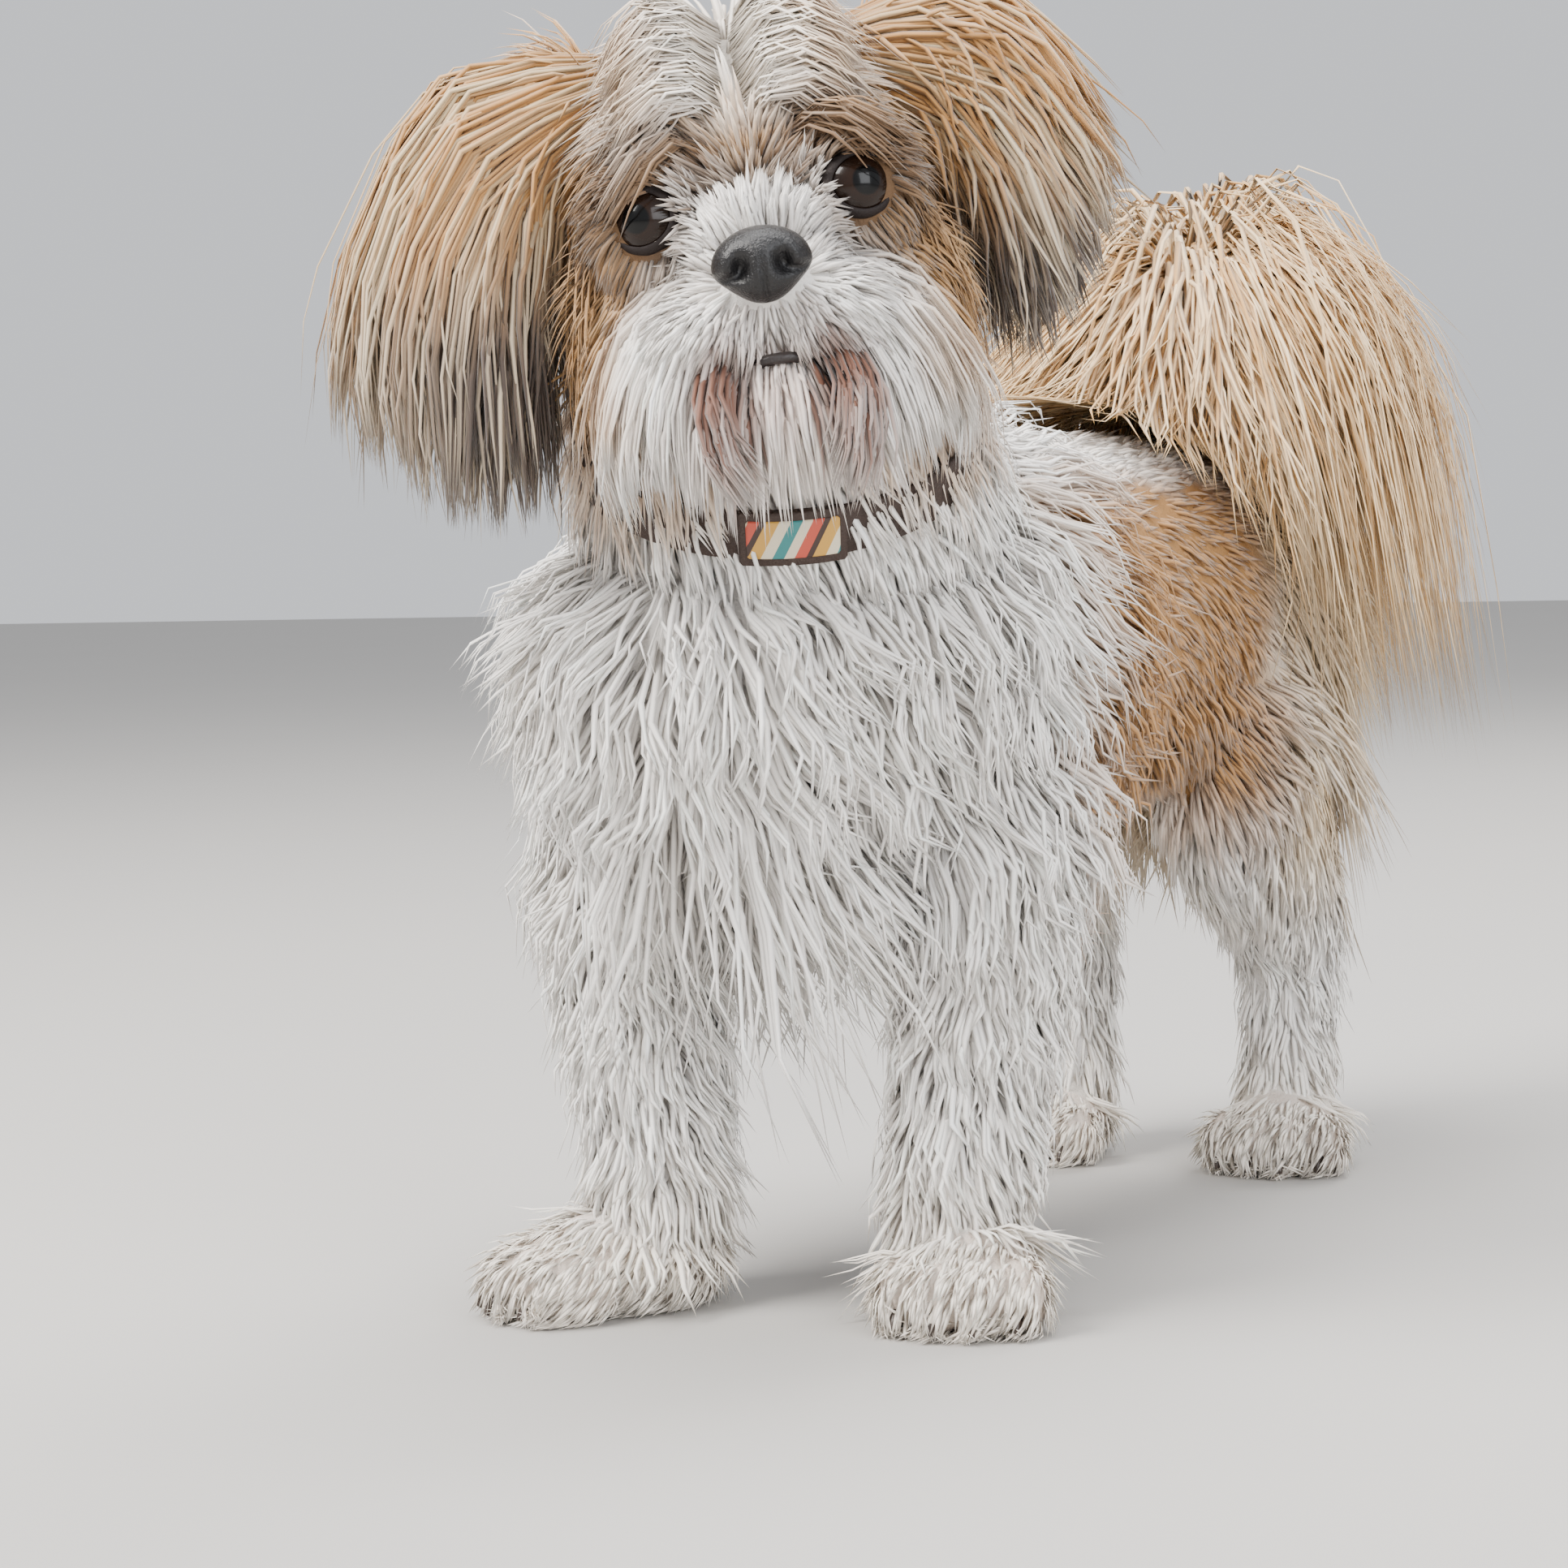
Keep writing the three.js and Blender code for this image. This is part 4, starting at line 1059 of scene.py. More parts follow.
def toned(count, rng, vary, group=0.5, vary_group=0.0):
    """Lightness of each strand, varied by strand and by clump."""
    alone = vary * (rng.random((count, 1, 1)) - 0.5)
    return 1 + alone + vary_group * (np.broadcast_to(group, count)[:, None, None] - 0.5)


def painted_shade_and_light_along(s, dark, rise, pace):
    """Lightness along a strand: painted shade at its darker root, in the coat's depth, rising towards the
    tip, where values above one are painted light.
    """
    return (dark + rise * np.minimum(1, s * pace))[..., None]


class DOG_OT_coat(bpy.types.Operator):
    """Grows the tufts of the trunk, legs, paws and head over the skin"""

    bl_idname = "dog.coat"
    bl_label = "Coat"

    def execute(self, context):
        if not SKIN:
            raise RuntimeError("The skin is made first")
        start = context.scene.dog_sizes.seed
        for order, (name, c) in enumerate(COATS.items()):
            rng = np.random.default_rng(start + order)
            count = number(c["count"])
            root, normal, uv, region = skin_sample(c["on"], count, rng, c.get("keep", clear_of_eyes))
            way = lie_of(root, normal, region)
            long = rng.uniform(*c["long"], count)
            if "scale" in c:
                long = long * c["scale"](root)
            wide = c["wide"] * rng.uniform(0.75, 1.25, count) * np.sqrt(long / np.mean(c["long"]))
            seed = start + CLUMP_SEED + order
            path = strand_paths(root, normal, way, long, c["rings"], rng, seed, **c["lie"])
            path[..., 2] = np.maximum(path[..., 2], TUFT_GAP)
            seen = off_slide(path)
            root, normal, uv, wide, path = root[seen], normal[seen], uv[seen], wide[seen], path[seen]
            base = mix(markings(root), markings(path[:, -1]), 0.4)
            # The ring colours carry painted shade at the roots and painted light at the tips.
            colours = shaded(base, rng, rng.random(len(root)), c["rings"])
            hair_piece(name, path, wide, normal, colours, uv, c.get("slot", "white_coat"))
        return {"FINISHED"}


def ear_colours(path, rng, same):
    """Ear hair: gold above, cream and grey streaks lower down, charcoal at the lower inner tips."""
    q = to_head(path)
    streak = (0.55 * same + 0.45 * rng.random(len(path)))[:, None, None]
    low = smooth(6, -46, q[..., 2] + ripple(path, 26, 31) * 8)[..., None]
    pale = mix(colour("gold") * 1.05, colour("cream") * 0.62, smooth(0.3, 1.0, streak))
    ash = mix(np.array([0.27, 0.20, 0.14]), np.array([0.56, 0.46, 0.34]), smooth(0.2, 0.9, streak))
    inner = smooth(110, 84, np.abs(q[..., 0])) * smooth(-18, -40, q[..., 2])
    made = mix(pale, ash, low * 0.85)
    return mix(made, colour("dark") * 1.3, inner[..., None] * smooth(0.85, 0.45, streak) * 0.92)


# Lines of the ear's hair from front view, as x and z of the head at each third of the way, from the
# outermost line to the one beside the cheek.
EAR_LINES = {
    1: [[[22, 34], [64, 44], [84, 28], [95, 3]], [[26, 30], [71, 28], [90, 4], [100, -18]],
        [[30, 24], [68, 4], [82, -26], [87, -48]], [[34, 10], [57, -14], [62, -42], [63, -68]]],
    -1: [[[-22, 35], [-78, 40], [-112, -2], [-124, -42]], [[-26, 30], [-78, 20], [-106, -22], [-113, -60]],
         [[-30, 24], [-68, -2], [-88, -44], [-93, -80]], [[-34, 10], [-57, -16], [-66, -54], [-70, -86]]],
}


class DOG_OT_ears(bpy.types.Operator):
    """Fans the long hair of both ears from the sides of the crown out to the ears' whole outline"""

    bl_idname = "dog.ears"
    bl_label = "Ears"

    def execute(self, context):
        for sign, side in ((1, "left"), (-1, "right")):
            rng = np.random.default_rng(context.scene.dog_sizes.seed + EAR_SEED + sign)
            count = number(EAR_TUFTS)
            around = rng.uniform(0, FULL_TURN, count)
            deep = rng.random(count) ** 0.38
            u = np.clip(0.5 + 0.5 * deep * np.sin(around) + rng.normal(0, 0.03, count), 0, 1)
            v = deep * np.cos(around)
            lines = np.array(EAR_LINES[sign], float)
            flat = along(lines.reshape(4, -1), u).reshape(count, 4, 2)
            front = rows(4 + 15 * v, 5 + 24 * v, 4 + 28 * v, 3 + 20 * v)
            s = shares(count, LONG_RINGS, rng)
            path = spline(rows(flat[..., 0], front, flat[..., 1]), s)
            root = path[:, :1]
            short = rng.random(count) < 0.3
            reach = np.where(short, rng.uniform(0.45, 0.8, count), rng.uniform(0.8, 1.04, count))
            path = root + (path - root) * reach[:, None, None]
            _, same = clump_pull(path[:, 3], 9, 77)
            turns = s * (5.5 + 3 * same[:, None]) + same[:, None] * 40
            path[..., 0] += sign * 2.2 * s * np.sin(turns)
            path[..., 1] += 2.4 * s * np.cos(turns)
            stray = np.where(rng.random(count) < 0.1, 2.8, 1.0)[:, None, None]
            path += rng.normal(0, 1, (count, 1, 3)) * [2.4, 2.4, 1.8] * stray * (s**1.2)[..., None]
            path, group = gathered(path, s, 10, 91, 0.62, 1.8)
            face = unit(rows(sign * 0.35, v * 1.1, 0.45 - 0.6 * (u - 0.3))) @ HEAD.T
            path = from_head(path)
            base = ear_colours(path, rng, group)
            wide = rng.uniform(0.7, 1.25, count)
            # Strands deep inside the ear's hair are darker as painted shade, and each strand has painted
            # shade at its root.
            tone = toned(count, rng, 0.12, group, 0.14) * mix(0.72, 1.0, deep**2)[:, None, None]
            shades = base * tone * painted_shade_and_light_along(s, 0.8, 0.24, 2)
            hair_piece(f"hair_ear_{side}", path, wide, face, shades, skin_uv(path[:, 0]), "gold_coat")
        return {"FINISHED"}


def out_of_trunk(points, gap):
    """Pushes points out of the trunk's rounded section at their own y, by a gap."""
    x, y, z = axes(points)
    _, line, middle, half_wide, half_deep = TRUNK.stations.T
    wide = np.interp(y, line, half_wide, left=1, right=1) + gap
    deep = np.interp(y, line, half_deep, left=1, right=1) + gap
    mid = np.interp(y, line, middle)
    inside = (y > line[0]) & (y < line[-1])
    power = TRUNK.square
    level = (np.abs(x / wide) ** power + np.abs((z - mid) / deep) ** power) ** (1 / power)
    scale = np.where(inside & (level < 1), 1 / np.maximum(level, 0.3), 1.0)
    return rows(x * scale, y, mid + (z - mid) * scale)


# Fall of the plume around the upright: angle from the dog's left, then reach and rise at each third.
PLUME = np.array([
    [0, 30, 16, 66, -30, 82, -166],
    [35, 38, 16, 82, -34, 98, -164],
    [65, 38, 16, 78, -36, 94, -160],
    [90, 36, 16, 66, -34, 78, -152],
    [135, 34, 16, 72, -34, 84, -142],
    [180, 32, 14, 80, -32, 92, -116],
    [230, 32, 8, 78, -34, 102, -74],
    [270, 34, 4, 84, -23, 126, -42],
    [315, 32, 8, 66, -34, 88, -84],
    [360, 30, 16, 66, -30, 82, -166],
], float)


class DOG_OT_plume(bpy.types.Operator):
    """Fans the long hair of the tail over the back and down both thighs"""

    bl_idname = "dog.plume"
    bl_label = "Tail plume"

    def execute(self, context):
        bands = {"hair_plume_left": (-52, 92), "hair_plume_right": (92, 308)}
        for order, (name, (low, high)) in enumerate(bands.items()):
            rng = np.random.default_rng(context.scene.dog_sizes.seed + PLUME_SEED + order)
            count = number(PLUME_TUFTS)
            turn = rng.uniform(low, high, count)
            rear = np.clip(1 - np.abs((turn % 360) - 90) / 70, 0, 1)
            t0 = mix(rng.uniform(0.5, 1.0, count), rng.uniform(0.18, 0.62, count), rear)
            angle = np.radians(turn)
            stem = TAIL.point(t0, rng.uniform(0, FULL_TURN, count), -4)
            length = rng.uniform(0.5, 1.05, count) ** 0.8
            narrow = rng.beta(1.8, 1.0, count)
            s = shares(count, LONG_RINGS, rng)
            guides = (np.interp(turn % 360, PLUME[:, 0], line) for line in PLUME.T[1:])
            out1, up1, out2, up2, out3, up3 = guides
            reach = rows(0.0, out1, out2, out3) * mix(0.35, 1.0, narrow)[:, None]
            rise = rows(0.0, up1 * mix(0.5, 1.1, narrow), up2, up3)
            over_back = smooth(200, 250, turn % 360) * smooth(350, 310, turn % 360)
            rise[:, 2:] -= (over_back * (1 - narrow) * 34)[:, None]
            fall = spline(rows(reach, 0.0, rise), s * length[:, None])
            way = rows(np.cos(angle), np.sin(angle), 0.0)
            path = stem[:, None, :] + way[:, None, :] * fall[..., :1] + UP * fall[..., 2:]
            across = np.cross(way, UP)
            fan = rng.normal(0, 1, count)
            path = path + across[:, None, :] * (fan[:, None] * 10 * s**1.2)[..., None]
            _, same = clump_pull(stem + way * 14, 9, 55)
            wave = 6.0 * s * np.sin(s * length[:, None] * 8.5 + same[:, None] * FULL_TURN)
            path = path + across[:, None, :] * wave[..., None]
            path, group = gathered(path, s, 17, 63 + order, 0.7, 1.6)
            wisp = np.where(rng.random(count) < 0.05, rng.uniform(8, 24, count), 0)[:, None]
            path[..., 2] += wisp * np.sin(math.pi * np.minimum(s * 1.1, 1))
            flick = rng.uniform(0, 12, count)[:, None] * s**5
            path = path + (way * [1, 1, 0] + UP * 0.5)[:, None, :] * flick[..., None]
            path = out_of_trunk(path, 2.5)
            face = unit(way + UP * 0.9)
            streak = smooth(0.2, 0.9, mix(group, rng.random(count), 0.45))[:, None, None]
            low_end = smooth(0.15, 0.95, s)[..., None]
            pale, warm = colour("cream") * [0.97, 0.88, 0.74], colour("gold") * [1.2, 1.25, 1.15]
            base = mix(pale, warm, streak * mix(0.95, 0.8, low_end))
            base = mix(base, colour("white"), 0.12 * (1 - streak))
            # The inner, shorter strands under the plume are darker as painted shade, and each strand has
            # painted shade at its root.
            tone = toned(count, rng, 0.14) * mix(0.72, 1.0, narrow)[:, None, None]
            wide = rng.uniform(0.85, 1.4, count)
            hair_piece(name, path, wide, face, base * tone * painted_shade_and_light_along(s, 0.84, 0.2, 2), skin_uv(stem), "gold_coat")
        return {"FINISHED"}


FACE_MIDDLE = np.array([0.0, -14.0, -34.0])


def key(x, y, z, jitter, spread):
    """Places that strands pass through, moved at random by a spread in millimetres."""
    return rows(x, y, z) + jitter * spread


def either_side(count, rng):
    return np.where(rng.random(count) < 0.5, 1.0, -1.0)


class DOG_OT_beard(bpy.types.Operator):
    """Hangs the moustache, the beard and the long hair of the cheeks"""

    bl_idname = "dog.beard"
    bl_label = "Moustache and beard"

    def execute(self, context):
        seed = context.scene.dog_sizes.seed + FACE_SEED
        rng = np.random.default_rng(seed)
        self.moustache(rng, seed)
        self.beard(rng, seed)
        self.stained(rng, seed)
        self.cheeks(rng, seed)
        self.forehead(rng, seed)
        self.bridge(rng, seed)
        return {"FINISHED"}

    def moustache(self, rng, seed):
        """From beside the nose out and down past the lips."""
        count = number(FACE_TUFTS["moustache"])
        k = rng.random(count) ** 0.9
        side = either_side(count, rng)
        jitter = rng.normal(0, 1, (count, 3))
        keys = [
            key(side * (7 + 15 * k), -52 + 8 * k, -41 + 6 * k, jitter, [1.4, 1.5, 2.6]),
            key(side * (20 + 19 * k), -60 + 16 * k, -50 + 10 * k, jitter, [2, 2, 3]),
            key(side * (28 + 22 * k), -55 + 20 * k, -68 + 8 * k, jitter, [3, 3, 4]),
            key(side * (29 + 24 * k), -47 + 20 * k, -88 + 12 * k, jitter, [4, 4, 5]),
        ]
        self.hang("hair_moustache", keys, rng, seed + 1, rings=6, wide=0.8)

    def beard(self, rng, seed):
        """From the chin straight down, stained a little on either side."""
        count = number(FACE_TUFTS["beard"])
        x = rng.uniform(-26, 26, count)
        row = rng.uniform(-4, 10, count)
        jitter = rng.normal(0, 1, (count, 3))
        keys = [
            key(x * 0.6, -48 + row, -58 - 0.2 * row, jitter, [1.5, 2, 2]),
            key(x * 0.85, -58 + row, -70, jitter, [2, 2, 2]),
            key(x, -50 + row, -93 + 0.12 * np.abs(x), jitter, [3, 3, 5]),
        ]
        stain = smooth(9, 13, np.abs(x)) * smooth(25, 19, np.abs(x)) * rng.uniform(0.5, 1.0, count)
        self.hang("hair_beard", keys, rng, seed + 2, rings=5, wide=0.85, stain=stain)

    def stained(self, rng, seed):
        """Rust locks that curl from the corners of the mouth round under the chin."""
        count = number(FACE_TUFTS["stained"])
        side = either_side(count, rng)
        jitter = rng.normal(0, 1, (count, 3))
        keys = [
            key(side * 13, -53, -53, jitter, [1.5, 1, 1.5]),
            key(side * 19, -65, -62, jitter, [1.8, 1, 2]),
            key(side * 20, -70, -76, jitter, [2.4, 1.2, 3]),
            key(side * 14, -66, -91, jitter, [3.4, 1.6, 4]),
        ]
        stain = rng.uniform(0.6, 1.0, count)
        self.hang("hair_stained", keys, rng, seed + 6, rings=5, wide=0.85, stain=stain)

    def cheeks(self, rng, seed):
        """From under the eyes and ears down over the cheeks."""
        count = number(FACE_TUFTS["cheeks"])
        side = either_side(count, rng)
        down, back = rng.random(count), rng.random(count)
        jitter = rng.normal(0, 1, (count, 3))
        keys = [
            key(side * (34 + 6 * back), -30 + 34 * back, -8 - 46 * down, jitter, [1.5, 2, 2]),
            key(side * (48 + 6 * back), -30 + 36 * back, -26 - 44 * down, jitter, [2, 2, 3]),
            key(side * (52 + 4 * back - 6 * down), -26 + 36 * back, -54 - 40 * down, jitter, [3, 3, 4]),
        ]
        self.hang("hair_cheeks", keys, rng, seed + 3, rings=5, wide=0.9)

    def forehead(self, rng, seed):
        """Locks swept from the parting out over the brows, following a rounded skull of a given radius."""

        def over(x, z, radius, spread=0.0):
            left = np.maximum(1 - (x / radius) ** 2 - ((z - 3) / radius) ** 2, 0.02)
            return key(x, 4 - radius * np.sqrt(left), z, jitter, spread)

        count = number(FACE_TUFTS["forehead"])
        side = either_side(count, rng)
        low = rng.random(count) < 0.3
        k = rng.random(count)
        base = np.where(low, 3 + 5 * k, 8 + 32 * k)
        out = np.where(low, 9 + 3 * k, 1 + 4 * rng.random(count))
        jitter = rng.normal(0, 1, (count, 3))
        proud = rng.uniform(-4, 3, count)
        hang = np.where(side < 0, 5.0, 0.0)
        keys = [
            over(side * out, base, 40),
            over(side * (out + 13), base + np.where(low, 3, 8), np.where(low, 56, 54) + proud, 1.2),
            over(side * (out + 24), base + np.where(low, -4 - hang, 4), np.where(low, 62, 57) + proud, 2),
            over(side * (out + 34), base - np.where(low, 15 + hang, 8), np.where(low, 60, 55) + proud, 3),
        ]
        self.hang("hair_forehead", keys, rng, seed + 4, rings=5, wide=0.9)

    def bridge(self, rng, seed):
        """A fan from above the nose up between the eyes."""
        count = number(FACE_TUFTS["bridge"])
        x = rng.uniform(-14, 14, count)
        jitter = rng.normal(0, 1, (count, 3))
        row = rng.uniform(0, 1, count)
        off = np.abs(x)
        keys = [
            key(x, -52 + 0.2 * off + 3 * row, -25 + 8 * row, jitter, [1, 1, 1.5]),
            key(x * 1.45, -59 + 0.4 * off + 5 * row, -16 + 5 * row - 0.03 * x**2, jitter, 1.2),
            key(x * 1.95, -57 + 0.45 * off + 6 * row, -6 + 3 * row - 0.085 * x**2, jitter, 2),
        ]
        self.hang("hair_bridge", keys, rng, seed + 5, rings=4, wide=0.7)

    def hang(self, name, keys, rng, seed, rings, wide, stain=None):
        """Strands through keyed places of the head, from under the skin, waved and gathered to tips."""
        count = len(keys[0])
        s = shares(count, rings, rng)
        path = spline(np.stack(keys, 1), s)
        path = path[:, :1] + (path - path[:, :1]) * rng.uniform(0.72, 1.0, (count, 1, 1))
        _, same = clump_pull(path[:, 0], 7, seed)
        path = path + np.array([0.3, 1.0, 0.0]) * (2.0 * s * np.sin(s * 6 + same[:, None] * 6.28))[..., None]
        path, _ = gathered(path, s, 8, seed + 9, 0.62, 1.6)
        face = unit(path[:, rings // 2] - FACE_MIDDLE) @ HEAD.T
        path = from_head(path)
        seen = off_slide(path)
        path, face, same, s, count = path[seen], face[seen], same[seen], s[seen], int(seen.sum())
        stain = np.zeros(count) if stain is None else stain[seen]
        base = mix(markings(path), markings(path[:, :1]), 0.35)
        base = mix(base, colour("rust"), stain[:, None, None] * smooth(1.35, 0.6, s)[..., None])
        # Each strand has painted shade at its root and painted light at its tip.
        shades = base * toned(count, rng, 0.16, same, 0.14) * painted_shade_and_light_along(s, 0.84, 0.2, 2.2)
        width = wide * rng.uniform(0.7, 1.25, count)
        hair_piece(name, path, width, face, shades, skin_uv(path[:, 0]), "white_coat")


def ball_frame(sign):
    """Ways across, ahead and up from an eye, in the head's frame."""
    ahead = unit(np.array([sign * 0.36, -0.93, 0.03]))
    side = unit(np.cross(ahead, UP))
    return side, ahead, np.cross(ahead, side)


def off_axis(angle, around, across, ahead, up):
    """Directions at an angle from ahead, turned round it."""
    level = np.cos(around)[..., None] * across + np.sin(around)[..., None] * up
    return np.sin(angle)[..., None] * level + np.cos(angle)[..., None] * ahead


class DOG_OT_eyes(bpy.types.Operator):
    """Makes both eyes, their lids and the dark rims"""

    bl_idname = "dog.eyes"
    bl_label = "Eyes"

    def execute(self, context):
        eye = self.eye_material()
        lid = new_material(
            "Lid", shade=(0.018, 0.013, 0.012), mottle=(300.0, 0.3), grain=(1500.0, 0.5, 0.0006),
            Roughness=0.6, Specular_IOR_Level=0.2,
        )
        around = FULL_TURN * np.arange(64)[None, :] / 64
        from_front = np.linspace(0.02, math.pi - 0.02, 41)[:, None]
        cornea = 1 + 0.055 * np.exp(-((from_front / 0.5) ** 2))
        for sign, side in ((1, "left"), (-1, "right")):
            centre = EYE_AT * [sign, 1, 1]
            across, ahead, up = ball_frame(sign)
            way = off_axis(from_front, around, across, ahead, up)
            points, faces = capped(from_head(centre + way * (EYE_RADIUS * cornea)[..., None]))
            ball = mesh_object(f"eyeball_{side}", points, faces)
            turned = (to_head(points) - centre) / EYE_RADIUS
            set_map(ball, "Front", rows(turned @ across, turned @ up) * 0.5 + 0.5, faces)
            finished(ball, eye, "eye", f"eye_{side}")
            rings = self.lid_rings(across, ahead, up)
            points = from_head(centre + rings.reshape(-1, 3))
            faces = oriented(points, ring_faces(len(rings), rings.shape[1], True))
            finished(mesh_object(f"lids_{side}", points, faces), lid, "nose")
        return {"FINISHED"}

    def lid_rings(self, across, ahead, up):
        """Rings of a rounded band over the ball, from its opening out to the socket and back inside."""
        a = FULL_TURN * np.arange(72)[None, :] / 72
        opening = 0.86 - 0.12 * np.abs(np.sin(a)) ** 1.4 + 0.05 * np.cos(a) ** 4
        past, reach = np.array([
            [0.0, 1.005], [-0.02, 1.03], [0.0, 1.07], [0.07, 1.1], [0.18, 1.1], [0.3, 1.05], [0.36, 0.97],
            [0.2, 0.98],
        ]).T[:, :, None]
        return off_axis(opening + past, a, across, ahead, up) * (reach * EYE_RADIUS)[..., None]

    def eye_material(self):
        """Dark brown iris around a black pupil, under a clear wet coat."""
        made, tree, shader = principled(
            "Eye", Roughness=0.22, Specular_IOR_Level=0.15, Coat_Weight=0.7, Coat_Roughness=0.04,
            Coat_IOR=1.25,
        )
        uv = node(tree, "UVMap", uv_map="Front")
        from_middle = node(tree, "VectorMath", {1: (0.5, 0.5, 0.0)}, operation="DISTANCE")
        ramp = ramp_node(tree, [
            (0.17, (0.002, 0.002, 0.002)), (0.20, (0.015, 0.007, 0.004)), (0.36, (0.010, 0.005, 0.003)),
            (0.41, (0.004, 0.003, 0.003)),
        ])
        wire(
            tree, (uv, "UV", from_middle, 0), (from_middle, "Value", ramp, "Fac"),
            (ramp, "Color", shader, "Base Color"),
        )
        return made


def mound(x, z, at_x, at_z, wide, high):
    """A round hill of height one: e to minus the square of the distance, counted in its width and height."""
    return np.exp(-(((x - at_x) / wide) ** 2) - (((z - at_z) / high) ** 2))


class DOG_OT_nose(bpy.types.Operator):
    """Sculpts the nose with its nostrils, and the dark line of the mouth: the lips, and in part painted shade
    in the mouth's opening
    """

    bl_idname = "dog.nose"
    bl_label = "Nose and mouth"

    def execute(self, context):
        p = sphere(*sphere_grid(72, 96, 0.99)) * [13.2, 9.0, 10.0]
        narrow = 1 - 0.26 * smooth(0.0, 9.0, -p[..., 2])
        p[..., 0] *= narrow
        front = smooth(0.0, -4.0, p[..., 1])
        x, z = np.abs(p[..., 0]), p[..., 2]
        hole = mound(x, z, 5.6, -0.6, 2.3, 3.0)
        slit = mound(x, z, 9.4, -2.6, 2.6, 1.25)
        middle = np.exp(-((p[..., 0] / 0.8) ** 2)) * smooth(3.5, -2.5, z)
        wing = mound(x, z, 8.6, 2.2, 2.6, 3.2)
        p[..., 1] += front * (4.6 * hole + 2.3 * slit + 1.3 * middle - 0.9 * wing)
        points, faces = capped(from_head(p + NOSE_AT))
        nose = new_material(
            "Nose", shade=(0.006, 0.0055, 0.006), mottle=(500.0, 0.3), grain=(1300.0, 0.55, 0.0009),
            Roughness=0.36, Specular_IOR_Level=0.35, Coat_Weight=0.12, Coat_Roughness=0.25,
        )
        finished(mesh_object("nose_leather", points, faces), nose, "nose", "nose")
        lip_and_mouth_shade = new_material(
            "Lips and mouth shade", shade=(0.02, 0.014, 0.013), mottle=(300.0, 0.3), grain=(900.0, 0.4, 0.0006),
            Roughness=0.45,
        )
        # The dark cord is the lips, and in part painted shade in the opening of the mouth under the nose.
        line = [[-11, -51, -56.5], [-5, -55, -54.5], [0, -56, -54], [5, -55, -54.5], [11, -51, -56.5]]
        stations = [[*place, 1.7, 1.7] for place in line]
        stations[0][3:], stations[-1][3:] = [1, 1], [1, 1]
        cord = capped(Tube(stations, across=[0.2, 0.3, 1], head=True).grid(24, 10, -0.2))
        finished(mesh_object("lips_and_mouth_shade", *cord), lip_and_mouth_shade, "nose")
        return {"FINISHED"}


# Line of a claw: how far ahead of the toe's front, how far down, half width and half depth.
CLAW_LINE = [(-4, 0, 1.8, 2.2), (1, 0, 1.7, 2.0), (4, 1.8, 1.3, 1.5), (5.5, 4.4, 1, 1)]
CLAW_HIGH = 7


class DOG_OT_claws(bpy.types.Operator):
    """Adds a curved dark claw to the front of every toe"""

    bl_idname = "dog.claws"
    bl_label = "Claws"

    def execute(self, context):
        horn = new_material(
            "Claw", shade=(0.05, 0.035, 0.028), mottle=(400.0, 0.4), Roughness=0.35, Specular_IOR_Level=0.5
        )
        parts = []
        for heel_x, heel_y, degrees, long, wide, _ in PAWS.values():
            for middle, ahead, side in toes(heel_x, heel_y, degrees, long, wide):
                at = middle + ahead * (long * 0.17 - 2) + UP * CLAW_HIGH
                stations = [[*(at + ahead * far - UP * drop), *half] for far, drop, *half in CLAW_LINE]
                parts.append(capped(Tube(stations, across=side).grid(10, 12)))
        finished(mesh_object("claws", *joined(parts)), horn, "nose")
        return {"FINISHED"}


COLLAR_AT = np.array([15.0, -158.0, 260.0])
COLLAR_RADIUS = 58
COLLAR_HIGH = 15
COLLAR_THICK = 2.2
SLIDE_MIDDLE = -math.pi / 2 + 0.06
SLIDE_SPAN = 0.5
# No hair hangs before the slide within this angle of its middle and this height of its middle line.
SLIDE_CLEAR = 0.27
SLIDE_HALF_HIGH = 8
COLLAR_LEAN = rotation(2, HEAD_TURN) @ rotation(0, math.radians(30))


def collar_place(angle, radius, height):
    """Point on the collar: round its leaning ring at a radius and a height from its middle line."""
    return rows(radius * np.cos(angle), radius * np.sin(angle), height) @ COLLAR_LEAN.T + COLLAR_AT


